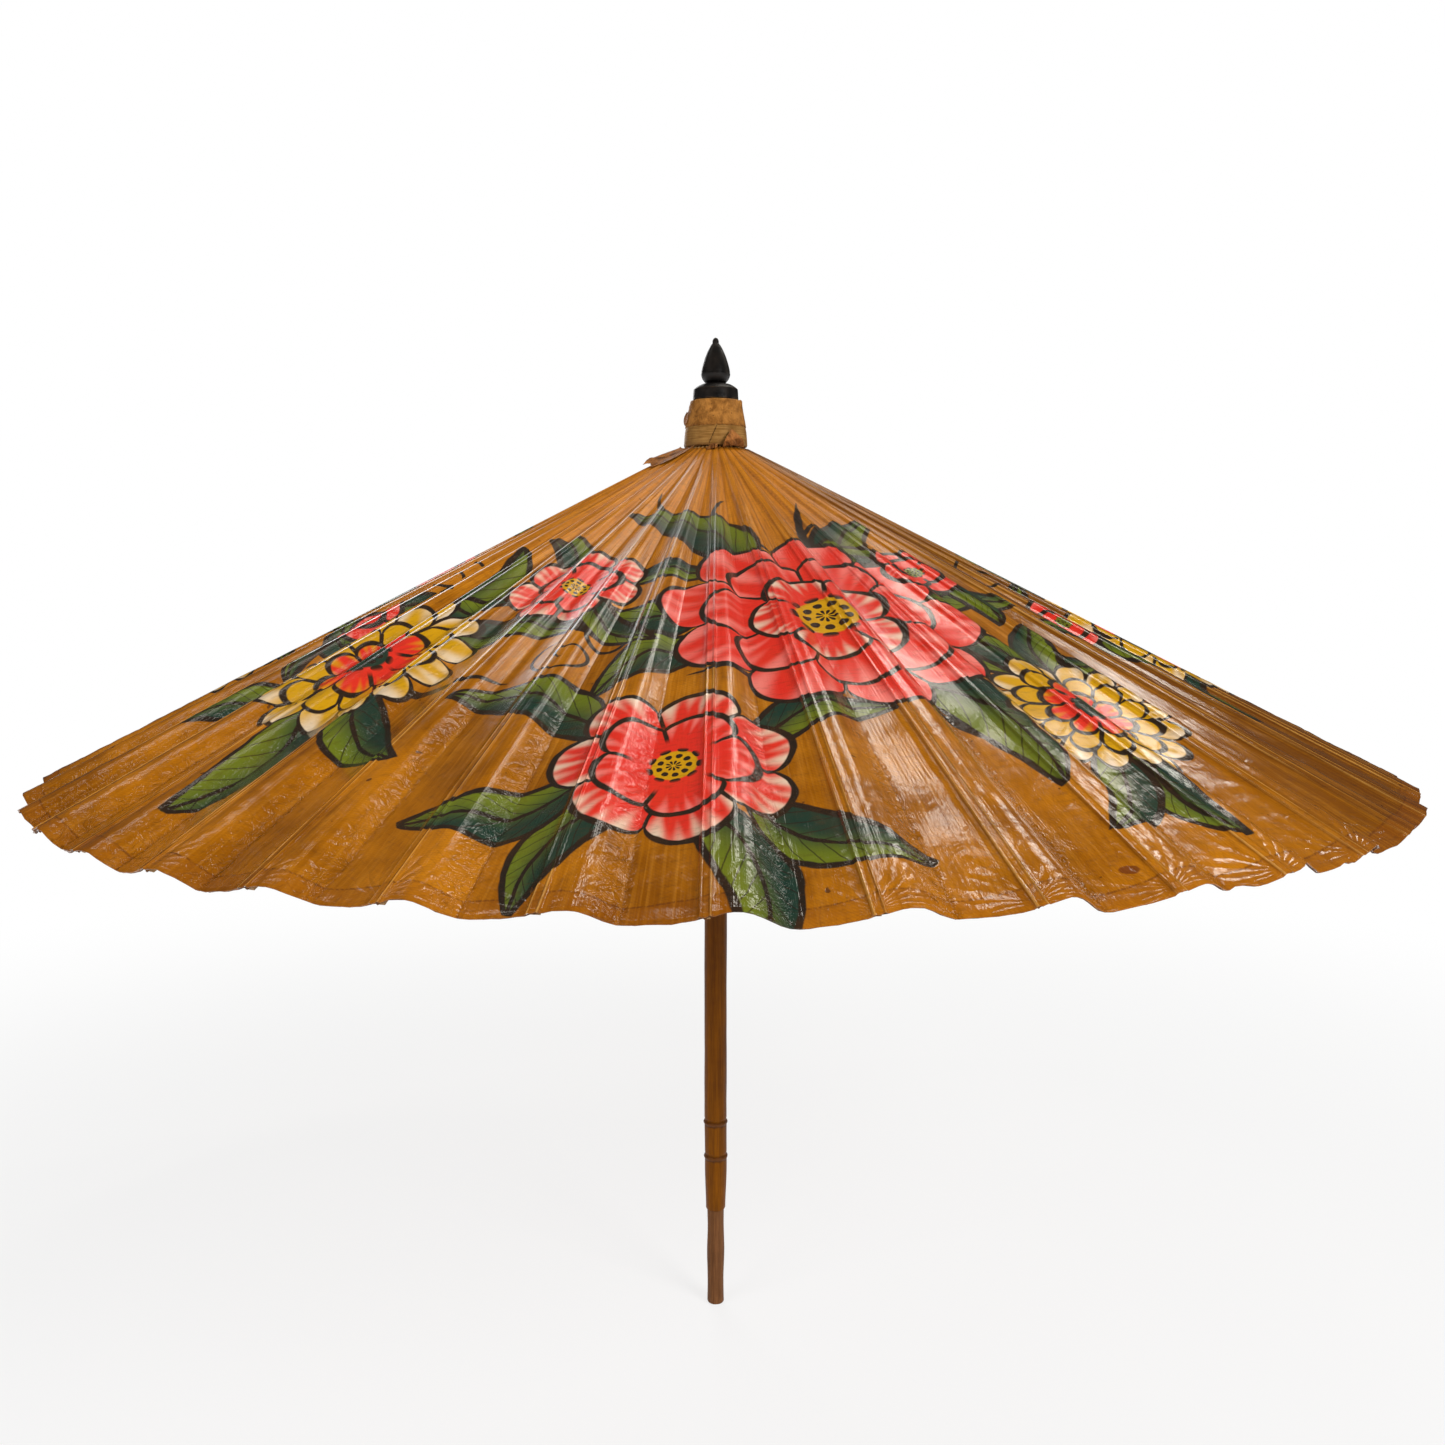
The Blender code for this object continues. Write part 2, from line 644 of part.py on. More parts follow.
def make_catch(materials):
    """Springy bamboo tongue in the shaft's slot, whose nose carries the runner, and the pin it turns on."""
    nose = SHAFT_RADIUS + CATCH_NOSE - CATCH_PIN_OFFSET
    outline = [
        *arc((0, 0), CATCH_EYE_RADIUS, 180, 360, EYE_SIDES // 2),
        (nose, CATCH_LENGTH),
        (nose - CATCH_TIP_DEPTH, CATCH_LENGTH),
    ]
    hole = ring((0, 0), (CATCH_PIN_RADIUS + GAP) / math.cos(math.pi / EYE_SIDES), EYE_SIDES)
    mesh = plate("catch", outline, [hole], lambda x: CATCH_WIDTH)
    pin = rod("catch_pin", CATCH_PIN_RADIUS, CATCH_PIN_LENGTH, EYE_SIDES)
    for name, shape in (("catch", mesh), ("catch_pin", pin)):
        piece = add_object(name, shape, materials["rib_bamboo"])
        piece.location = (CATCH_PIN_OFFSET, 0, CATCH_PIN_HEIGHT)


def main():
    clear_scene()
    materials = make_materials()
    make_dowel(materials)
    make_shaft(materials)
    make_head(materials)
    tie_thread("hub_tie_thread", HINGE_HEIGHT, materials)
    make_canopy(materials)
    make_runner(materials)
    make_catch(materials)


main()
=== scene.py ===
"""Looks of the oil paper umbrella: a pleated canopy of painted, oiled paper on bamboo ribs, a turned head
with the last of its paper wrap, and a bamboo shaft on a wooden dowel. Metres, +Z up, -Y is the front."""

import json
import random
from functools import partialmethod
from math import cos, degrees, exp, hypot, pi, radians, sin, sqrt

import bmesh
import bpy
from mathutils import Matrix, Vector, noise

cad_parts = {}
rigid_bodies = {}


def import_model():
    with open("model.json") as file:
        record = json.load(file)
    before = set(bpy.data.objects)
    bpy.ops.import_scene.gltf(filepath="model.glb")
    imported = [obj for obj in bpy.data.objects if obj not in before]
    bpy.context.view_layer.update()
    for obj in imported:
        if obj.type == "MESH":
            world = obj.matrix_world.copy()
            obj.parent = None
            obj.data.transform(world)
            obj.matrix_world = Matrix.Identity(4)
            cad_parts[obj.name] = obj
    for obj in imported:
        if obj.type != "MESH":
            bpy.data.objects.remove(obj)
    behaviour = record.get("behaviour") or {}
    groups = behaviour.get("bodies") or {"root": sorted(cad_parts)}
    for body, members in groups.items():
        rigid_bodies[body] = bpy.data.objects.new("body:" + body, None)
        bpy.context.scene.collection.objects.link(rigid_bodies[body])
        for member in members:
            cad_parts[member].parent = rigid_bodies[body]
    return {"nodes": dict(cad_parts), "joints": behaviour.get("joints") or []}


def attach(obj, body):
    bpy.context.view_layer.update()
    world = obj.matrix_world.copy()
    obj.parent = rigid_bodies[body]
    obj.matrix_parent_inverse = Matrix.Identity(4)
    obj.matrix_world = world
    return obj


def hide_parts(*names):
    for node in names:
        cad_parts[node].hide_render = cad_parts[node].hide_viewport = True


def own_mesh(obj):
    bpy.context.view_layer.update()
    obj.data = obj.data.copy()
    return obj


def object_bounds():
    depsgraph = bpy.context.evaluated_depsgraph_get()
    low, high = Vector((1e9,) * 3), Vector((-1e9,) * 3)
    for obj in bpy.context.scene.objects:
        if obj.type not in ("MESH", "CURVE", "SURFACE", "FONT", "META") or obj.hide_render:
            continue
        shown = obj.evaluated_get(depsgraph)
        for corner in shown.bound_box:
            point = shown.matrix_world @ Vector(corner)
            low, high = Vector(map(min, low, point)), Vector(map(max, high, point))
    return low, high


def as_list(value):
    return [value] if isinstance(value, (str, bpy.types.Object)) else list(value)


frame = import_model()
cad_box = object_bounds()
NODES = frame["nodes"]
JOINTS = {joint["name"]: joint for joint in frame["joints"]}

# Canopy, with the sizes that the solids have
PLEATS = 42
PANELS = 14
PLEATS_PER_PANEL = PLEATS // PANELS
PLEAT_ANGLE = 2 * pi / PLEATS
SLOPE = radians(27.2)
FRONT = -pi / 2
FOLD = "canopy_fold"
HINGE = Vector(JOINTS[FOLD]["pos_m"])
HINGE_RADIUS = hypot(HINGE.x, HINGE.y)
RIB_LENGTH = 0.4512
RIB_DEPTH = 0.0032
RIB_NECK_WIDTH = 0.0022
RIB_TIP_WIDTH = 0.0038
RIB_WIDENING = (RIB_TIP_WIDTH - RIB_NECK_WIDTH) / 2 / RIB_LENGTH
RIM_REACH = RIB_LENGTH + 0.0036
RIM_SCALLOP = 0.0025
RIM_SWAY = 0.0008
RIM_FRAY = 0.0006
PAPER_START = 0.0064
PAPER_LIFT = RIB_DEPTH / 2 + 0.0008
PAPER_THICKNESS = 0.00035
PLEAT_SAG = 0.0058
PLEAT_ARCH = 0.0052
FALL_START = 0.45
FALL_END = 1.12
RISE_END = 0.93
RISE_POWER = 1.5
PLEAT_SPREAD = 0.25
RELIEF = 0.75
TUCK_DEPTH = 0.0012
TUCK_WIDTH = 0.0012
CREASE_HALF = 0.0011
HEM_WIDTH = 0.0090
HEM_STEP = 0.00010
HEM_SOFT = 0.0003
RIM_ZONE = 0.070
RIM_ROW = 0.0024
UPPER_ROWS = 74
SIDE_COLUMNS = 6
CRINKLE = 0.00055
SMALLEST_SHEET = 0.010
MERGE_DISTANCE = 1e-6
APEX_GAP = HINGE_RADIUS / cos(SLOPE)
THREAD_RADIUS = 0.0003
THREAD_STEPS = 54
KNOT_RADIUS = 0.0008
KNOT_LUMP = 0.0003

# Tears in the rim: place in pleats from the front, half width in pleats, depth
RIM_TEARS = (
    (3.62, 0.10, 0.0030),
    (4.30, 0.16, 0.0042),
    (4.78, 0.05, 0.0030),
    (5.45, 0.07, 0.0034),
    (-8.4, 0.12, 0.0030),
    (17.6, 0.10, 0.0036),
    (-15.3, 0.08, 0.0030),
)

# Heights and radii of the turned pieces
DOWEL_RADIUS = 0.00595
DOWEL_TOP = 0.0712
SPIGOT_LENGTH = 0.045
SHAFT_RADIUS = 0.0078
SHAFT_END_RADIUS = 0.0068
SHAFT_BORE = 0.0056
SHAFT_TAPER = 0.033
SHAFT_ROW = 0.012
NODE_RINGS = (0.1104, 0.1358)
RIDGE_HEIGHT = 0.0007
RIDGE_WIDTH = 0.0011
GROOVE_DEPTH = 0.0003
GROOVE_WIDTH = 0.0007
GROOVE_RISE = 0.0024
SHAFT_TOP = 0.6262
SLOT_FOOT = 0.3372
SLOT_TOP = 0.3837
SLOT_HALF = 0.0014
HUB_TOP = 0.6315
HUB_BORE = 0.0081
BAND_TOP = 0.6146
BAND_BOTTOM = 0.6015
CRACK_HEIGHT = 0.6082
CRACK_ASIDE = 0.0016
CRACK_LEAN = 0.45
COLLAR_BOTTOM = 0.6318
COLLAR_TOP = 0.6427
COLLAR_BORE = 0.0057
PEG_RADIUS = 0.0053
PEG_LENGTH = 0.030
WRAP_RADIUS = 0.0163
WRAP_FLARE = 0.0044
WRAP_ROUNDING = 0.0009
WRAP_THICKNESS = 0.0003
WRAP_TORN_TOP = 0.0008
WRAP_TORN_FOOT = 0.0007
WRAP_LUMPS = 0.00022
WRAP_LOOSE = 0.0011
LOOSE_TURN = FRONT + radians(72)
FLAP_THICKNESS = 0.00025
LEFT_FLAP = FRONT - radians(56)
FRONT_FLAP = FRONT - radians(5)
RIGHT_FLAP = FRONT + radians(31)
SIDE_FLAP = FRONT - radians(80)

# Camera of the photograph
RIM_HEIGHT = 0.396
CAMERA_DISTANCE = 0.874
CAMERA_ELEVATION = radians(7.66)
CAMERA_TURN = radians(0.52)
CAMERA_YAW = radians(1.08)
LENS_MM = 31.97
SENSOR_MM = 36
SHIFT_X = 0.0215
SHIFT_Y = 0.0237


class Field:
    """A number in a material's node tree, with the usual arithmetic."""

    def __init__(self, socket):
        self.socket = socket
        self.nodes = socket.id_data.nodes

    def of(self, operation, *others):
        node = self.nodes.new("ShaderNodeMath")
        node.operation = operation
        for slot, value in zip(node.inputs, (self, *others)):
            plug(slot, value)
        return Field(node.outputs[0])

    __add__ = partialmethod(of, "ADD")
    __sub__ = partialmethod(of, "SUBTRACT")
    __mul__ = partialmethod(of, "MULTIPLY")
    __truediv__ = partialmethod(of, "DIVIDE")
    __pow__ = partialmethod(of, "POWER")
    __abs__ = partialmethod(of, "ABSOLUTE")

    def ramp(self, low, high):
        """0 below low and 1 above high, with a soft run between. It falls instead if low is above high."""
        node = self.nodes.new("ShaderNodeMapRange")
        node.interpolation_type = "SMOOTHSTEP"
        node.clamp = False
        plug(node.inputs["Value"], self)
        plug(node.inputs["From Min"], low)
        plug(node.inputs["From Max"], high)
        return Field(node.outputs["Result"])


def plug(slot, value):
    """Sets an input to a number or a colour, or links a field or a socket to it."""
    if isinstance(value, Field):
        value = value.socket
    if isinstance(value, bpy.types.NodeSocket):
        slot.id_data.links.new(value, slot)
    else:
        slot.default_value = value


def rgb(*colour):
    """A colour written as sRGB bytes, in the linear values that shaders take."""
    shares = [c / 255 for c in colour]
    return (*[s / 12.92 if s < 0.04045 else ((s + 0.055) / 1.055) ** 2.4 for s in shares], 1)


def mix(share, first, second):
    """A colour between two others."""
    node = share.nodes.new("ShaderNodeMix")
    node.data_type = "RGBA"
    plug(node.inputs["Factor"], share)
    plug(node.inputs["A"], first)
    plug(node.inputs["B"], second)
    return node.outputs["Result"]


class Coats:
    """A colour that grows coat by coat."""

    def __init__(self, colour):
        self.colour = colour

    def add(self, mask, *tint):
        """Lays on a colour, written as sRGB bytes, where the mask is 1."""
        self.colour = mix(mask, self.colour, rgb(*tint))


def coordinates(shader):
    return shader.id_data.nodes.new("ShaderNodeTexCoord").outputs["Object"]


def placed(vector, scale, turn=(0, 0, 0)):
    node = vector.id_data.nodes.new("ShaderNodeMapping")
    plug(node.inputs["Vector"], vector)
    node.inputs["Rotation"].default_value = turn
    node.inputs["Scale"].default_value = scale
    return node.outputs["Vector"]


def speckle(vector, scale, detail=2.0, roughness=0.5, distortion=0.0, output="Fac"):
    """Noise from 0 to 1, about 0.5."""
    node = vector.id_data.nodes.new("ShaderNodeTexNoise")
    plug(node.inputs["Vector"], vector)
    settings = {"Scale": scale, "Detail": detail, "Roughness": roughness, "Distortion": distortion}
    for label, value in settings.items():
        plug(node.inputs[label], value)
    return Field(node.outputs[output])


def parts_of(vector):
    node = vector.id_data.nodes.new("ShaderNodeSeparateXYZ")
    plug(node.inputs[0], vector)
    return [Field(out) for out in node.outputs]


def vector_of(x, y, z=0.0):
    node = x.nodes.new("ShaderNodeCombineXYZ")
    for slot, value in zip(node.inputs, (x, y, z)):
        plug(slot, value)
    return node.outputs[0]


def length_of(x, y):
    return (x * x + y * y).of("SQRT")


def new_material(name, roughness=0.5, **settings):
    """A material with one Principled shader, whose inputs are set by name with _ for a space."""
    material = bpy.data.materials.new(name)
    material.use_nodes = True
    shader = material.node_tree.nodes["Principled BSDF"]
    plug(shader.inputs["Roughness"], roughness)
    for key, value in settings.items():
        plug(shader.inputs[key.replace("_", " ").title().replace("Ior", "IOR")], value)
    return material, shader


def surface(shader, colour, roughness, height, depth):
    """Gives a shader its colour, its roughness, and a bump with a depth in metres."""
    plug(shader.inputs["Base Color"], colour)
    plug(shader.inputs["Roughness"], roughness)
    bump = shader.id_data.nodes.new("ShaderNodeBump")
    bump.inputs["Distance"].default_value = depth
    plug(bump.inputs["Height"], height)
    plug(shader.inputs["Normal"], bump.outputs["Normal"])


# Painted design: blossoms, leaves and ink strokes in a third of the canopy, which goes round three times
INK = rgb(34, 29, 24)
CORAL = rgb(216, 46, 34)
ROSE = rgb(236, 130, 118)
CREAM = rgb(222, 202, 174)
OCHRE = rgb(200, 148, 16)
GREEN = rgb(22, 54, 44)
OLIVE = rgb(100, 112, 28)
REPEATS = 3
DESIGN_CENTRE = radians(-8.5)
INK_HALF = 0.00185
WOBBLE = 0.005
WOBBLE_SCALE = 28
LEAF_BEND = 0.16
LEAF_WIDTH = 0.17
STALK_REACH = 0.62
SCROLL_TURNS = 1.6
LAID_PITCH = 0.0019
FLAT_PLEAT = PLEAT_ANGLE * cos(SLOPE)
HEM_EDGE = APEX_GAP + RIM_REACH - HEM_WIDTH - 0.0025
RIB_END = APEX_GAP + RIB_LENGTH
CREASES = 11

# A brown stain near the rim
STAIN_AZIMUTH = 0.426
STAIN_DISTANCE = 0.4527
STAIN_RADIUS = 0.0040
STAIN_SHAPE = 1.7


class Motif:
    """One kind of painted motif, as a node group. Its own length is 1 along x."""

    PLACE = ("Across", "Down", "Ink", "Place X", "Place Y", "Cosine", "Sine", "Size")

    def __init__(self, name, numbers=(), colours=()):
        self.tree = bpy.data.node_groups.new(name, "ShaderNodeTree")
        face = self.tree.interface
        for label in (*self.PLACE, *numbers):
            face.new_socket(label, in_out="INPUT", socket_type="NodeSocketFloat")
        for label in ("Under", *colours):
            face.new_socket(label, in_out="INPUT", socket_type="NodeSocketColor")
        face.new_socket("Painted", in_out="OUTPUT", socket_type="NodeSocketColor")
        self.entry = self.tree.nodes.new("NodeGroupInput").outputs
        right = self["Across"] - self["Place X"]
        down = self["Down"] - self["Place Y"]
        self.x = right * self["Cosine"] + down * self["Sine"]
        self.y = down * self["Cosine"] - right * self["Sine"]
        self.colour = self["Under"]

    def __getitem__(self, label):
        return Field(self.entry[label])

    def paint(self, colour, mask):
        self.colour = mix(mask, self.colour, colour)

    def line(self, edge, weight=1.0):
        """Mask of a line of ink where an edge is 0."""
        half = self["Ink"] / self["Size"] * weight
        return abs(edge).ramp(half * 1.2, half * 0.7)

    def polar(self):
        return length_of(self.x, self.y), self.y.of("ARCTAN2", self.x)

    def swell(self):
        """0 at both ends of the motif's length and 1 halfway."""
        return (self.x * (self.x * -4.0 + 4.0)).of("MAXIMUM", 0.0)

    def done(self):
        plug(self.tree.nodes.new("NodeGroupOutput").inputs["Painted"], self.colour)
        return self.tree


def petal_ring():
    """A ring of rounded petals, shaded from an inner to an outer colour, with ink between them."""
    motif = Motif("petal_ring", ("Count", "Radius", "Turn"), ("Inner", "Outer"))
    reach, angle = motif.polar()
    lobe = abs((angle * motif["Count"] * 0.5 + motif["Turn"]).of("COSINE"))
    edge = ((lobe**0.6) * 0.24 + 0.76) * motif["Radius"]
    inside = edge - reach
    body = inside.ramp(-0.01, 0.01)
    streaks = (angle * 31 + (angle * 7).of("SINE") * 2).of("SINE") * 0.10 + (angle * 17).of("SINE") * 0.08
    share = (reach / edge + streaks).ramp(0.72, 1.22)
    motif.paint(mix(share, motif["Inner"], motif["Outer"]), body)
    split = reach * lobe / motif["Count"] * 2
    outer_part = (reach / motif["Radius"]).ramp(0.45, 0.6)
    lines = motif.line(split, 0.65) * body * outer_part
    motif.paint(INK, motif.line(inside).of("MAXIMUM", lines))
    return motif.done()


def flower_heart():
    """The dotted middle of a blossom."""
    motif = Motif("flower_heart", (), ("Heart",))
    reach, angle = motif.polar()
    core = 0.20
    motif.paint(motif["Heart"], reach.ramp(core, core - 0.02))
    dots = (abs((angle * 4.5).of("SINE")) * abs((reach * 38).of("SINE"))).ramp(0.45, 0.6)
    motif.paint(INK, dots * reach.ramp(core * 1.25, core))
    return motif.done()


def pointed_leaf():
    """A leaf from its stalk along x, dark on one side of its vein and olive on the other."""
    motif = Motif("pointed_leaf", ("Bend", "Width"))
    x = motif.x
    along = motif.swell()
    aside = motif.y - along * motif["Bend"]
    half = (along**0.8) * motif["Width"] * (x * -0.5 + 1.25)
    inside = half - abs(aside)
    body = inside.ramp(-0.01, 0.01) * along.ramp(0.0, 0.02)
    light = (aside / motif["Width"] + (x - 0.5) * 0.5).ramp(-0.5, 0.75)
    motif.paint(mix(light, GREEN, OLIVE), body)
    ribs = abs((x * 26 - abs(aside) * 40).of("SINE")).ramp(0.20, 0.10) * 0.75
    vein = motif.line(aside, 0.65).of("MAXIMUM", ribs) * body
    motif.paint(INK, (motif.line(inside) * along.ramp(0.0, 0.04)).of("MAXIMUM", vein))
    return motif.done()


def ink_stroke():
    """A tapering line that waves about x."""
    motif = Motif("ink_stroke", ("Wave", "Waves", "Weight"))
    x = motif.x
    along = motif.swell()
    aside = motif.y - (x * motif["Waves"] * (2 * pi)).of("SINE") * motif["Wave"]
    half = (along**0.6) * motif["Weight"]
    motif.paint(INK, (half - abs(aside)).ramp(-0.002, 0.003) * along.ramp(0.0, 0.02))
    return motif.done()


def cloud_scroll():
    """A spiral of ink."""
    motif = Motif("cloud_scroll", ("Turns",))
    reach, angle = motif.polar()
    swirl = (reach * motif["Turns"] - angle / (2 * pi)).of("FRACT")
    line = abs(swirl - 0.5).ramp(0.10, 0.06)
    motif.paint(INK, line * reach.ramp(1.0, 0.94) * reach.ramp(0.12, 0.2))
    return motif.done()


class Brush:
    """Paints motifs one over the other. A motif's place is its azimuth in degrees from the middle of the
    design, and its distance in metres down the cone from the tip. A heading of 0 runs along the rim."""

    def __init__(self, colour, across, down, ink):
        self.nodes = ink.nodes
        self.colour = colour
        self.canvas = {"Across": across, "Down": down, "Ink": ink}
        self.petals = petal_ring()
        self.heart = flower_heart()
        self.leaf = pointed_leaf()
        self.line = ink_stroke()
        self.curl = cloud_scroll()

    def put(self, motif, azimuth, distance, size, heading, **inputs):
        node = self.nodes.new("ShaderNodeGroup")
        node.node_tree = motif
        angle = radians(azimuth) * cos(SLOPE)
        turn = radians(heading) - angle
        inputs |= self.canvas | {"Under": self.colour, "Size": size}
        inputs |= {"Place X": distance * sin(angle), "Place Y": distance * cos(angle)}
        inputs |= {"Cosine": cos(turn) / size, "Sine": sin(turn) / size}
        for label, value in inputs.items():
            plug(node.inputs[label], value)
        self.colour = node.outputs["Painted"]

    def blossom(self, azimuth, distance, size, heading, rings, heart):
        """Rings of petals, each (count, radius, inner colour, outer colour), round a heart."""
        place = (azimuth, distance, size, heading)
        for number, (count, radius, inner, outer) in enumerate(rings):
            ring = {"Count": count, "Radius": radius, "Turn": 0.9 * number, "Inner": inner, "Outer": outer}
            self.put(self.petals, *place, **ring)
        self.put(self.heart, *place, Heart=heart)

    def leaves(self, azimuth, distance, size, angles, length):
        """Leaves that stand out from behind a blossom."""
        for number, angle in enumerate(angles):
            way = radians(angle)
            down = distance + STALK_REACH * size * sin(way)
            place = azimuth + degrees(STALK_REACH * size * cos(way) / (down * cos(SLOPE)))
            bend = LEAF_BEND if number % 2 else -LEAF_BEND
            own = length * (0.9 + 0.1 * (number % 3))
            self.put(self.leaf, place, down, own, angle, Bend=bend, Width=LEAF_WIDTH)

    def stroke(self, azimuth, distance, size, heading, wave, waves, weight):
        self.put(self.line, azimuth, distance, size, heading, Wave=wave, Waves=waves, Weight=weight)

    def scroll(self, azimuth, distance, size, heading):
        self.put(self.curl, azimuth, distance, size, heading, Turns=SCROLL_TURNS)


def paint_design(brush):
    peony = [(9, 1.0, CORAL, ROSE), (7, 0.74, CORAL, ROSE), (5, 0.47, CORAL, CREAM)]
    pale = [(7, 1.0, CORAL, CREAM), (5, 0.66, CORAL, ROSE)]
    golden = [(16, 1.0, OCHRE, CREAM), (13, 0.76, OCHRE, OCHRE), (9, 0.50, CORAL, OCHRE)]
    bud = [(4, 1.0, CORAL, ROSE), (3, 0.6, CORAL, CORAL)]
    brush.stroke(40, 0.105, 0.150, 96, 0.12, 0.6, 0.018)
    brush.stroke(6, 0.300, 0.170, 15, -0.12, 0.5, 0.020)
    brush.stroke(-50, 0.340, 0.190, -22, 0.12, 0.6, 0.020)
    brush.stroke(-14, 0.092, 0.110, 42, 0.12, 1.0, 0.020)
    brush.stroke(-10, 0.128, 0.120, 24, -0.10, 0.9, 0.018)
    brush.stroke(12, 0.105, 0.080, 80, 0.16, 0.7, 0.024)
    brush.stroke(46, 0.140, 0.110, 150, 0.12, 1.0, 0.020)
    brush.stroke(-24, 0.300, 0.090, 75, 0.14, 0.8, 0.024)
    brush.scroll(-3, 0.268, 0.026, 40)
    brush.scroll(-7.5, 0.288, 0.018, 200)
    brush.scroll(-50, 0.205, 0.022, -30)
    brush.leaves(24, 0.246, 0.086, (-8, 20, 70, 152, 188, 236, 304), 0.098)
    brush.leaves(45, 0.345, 0.050, (-60, 95, 130, 250), 0.072)
    brush.leaves(6, 0.372, 0.054, (-25, 30, 74, 118, 160, 205), 0.086)
    brush.leaves(-34, 0.300, 0.064, (-24, 36, 84, 140, 205, 262), 0.088)
    brush.leaves(-14, 0.214, 0.038, (-14, 40, 168, 230), 0.062)
    brush.leaves(49, 0.196, 0.026, (85, 205), 0.054)
    brush.leaves(-52, 0.262, 0.024, (-50, 70), 0.050)
    brush.blossom(45, 0.345, 0.050, 10, golden, GREEN)
    brush.blossom(6, 0.372, 0.054, 25, pale, OCHRE)
    brush.blossom(24, 0.246, 0.086, 0, peony, OCHRE)
    brush.blossom(-14, 0.214, 0.038, 10, pale, OCHRE)
    brush.blossom(-34, 0.300, 0.064, 0, golden, GREEN)
    brush.blossom(49, 0.196, 0.026, 60, bud, OLIVE)
    brush.blossom(-52, 0.262, 0.024, 20, bud, OLIVE)


def paper_fields(shader):
    """Azimuth from the front, distance from the cone's tip, and the paper laid flat, once by the design's
    repeats and once whole, from its own map."""
    uv = shader.id_data.nodes.new("ShaderNodeUVMap")
    uv.uv_map = "paper"
    azimuth, distance, _ = parts_of(uv.outputs[0])
    half = pi / REPEATS
    repeated = azimuth.of("WRAP", DESIGN_CENTRE + half, DESIGN_CENTRE - half)
    angle = (repeated - DESIGN_CENTRE) * cos(SLOPE)
    flat = vector_of(distance * angle.of("SINE"), distance * angle.of("COSINE"))
    whole = azimuth * cos(SLOPE)
    spread = vector_of(distance * whole.of("SINE"), distance * whole.of("COSINE"))
    return azimuth, distance, flat, spread


def wobbled(flat):
    """The flat paper's coordinates, moved about a little as a hand does."""
    drift = speckle(flat, WOBBLE_SCALE, 3, output="Color")
    split = drift.nodes.new("ShaderNodeSeparateColor")
    plug(split.inputs[0], drift)
    moves = [(Field(out) - 0.5) * WOBBLE for out in split.outputs]
    across, down, _ = parts_of(flat)
    return across + moves[0], down + moves[1]


def laid_lines(spread):
    """The slanting lines of the mould that the paper was made on, from 0 to 1."""
    across, down, _ = parts_of(spread)
    waver = (speckle(spread, 30, 2) - 0.5) * 0.004
    return ((across - down + waver) * (2 * pi / LAID_PITCH)).of("SINE") * 0.5 + 0.5


def brown_stain(spread, uneven):
    across, down, _ = parts_of(spread)
    angle = STAIN_AZIMUTH * cos(SLOPE)
    right = across - STAIN_DISTANCE * sin(angle)
    below = (down - STAIN_DISTANCE * cos(angle)) * STAIN_SHAPE
    away = length_of(right, below) + (uneven - 0.5) * 0.012
    return away.ramp(STAIN_RADIUS * 1.15, STAIN_RADIUS * 0.85)


def rib_end_creases(azimuth, distance, uneven):
    """Height of the creases that fan out from the end of each rib, in metres."""
    aside = (azimuth / PLEAT_ANGLE).of("WRAP", 0.5, -0.5) * distance * FLAT_PLEAT
    above = distance * -1.0 + RIB_END
    reach = length_of(aside, above)
    fan = abs((aside.of("ARCTAN2", above) * CREASES + uneven * 9).of("SINE"))
    return fan * reach * reach.ramp(0.042, 0.012) * uneven.ramp(0.42, 0.56)


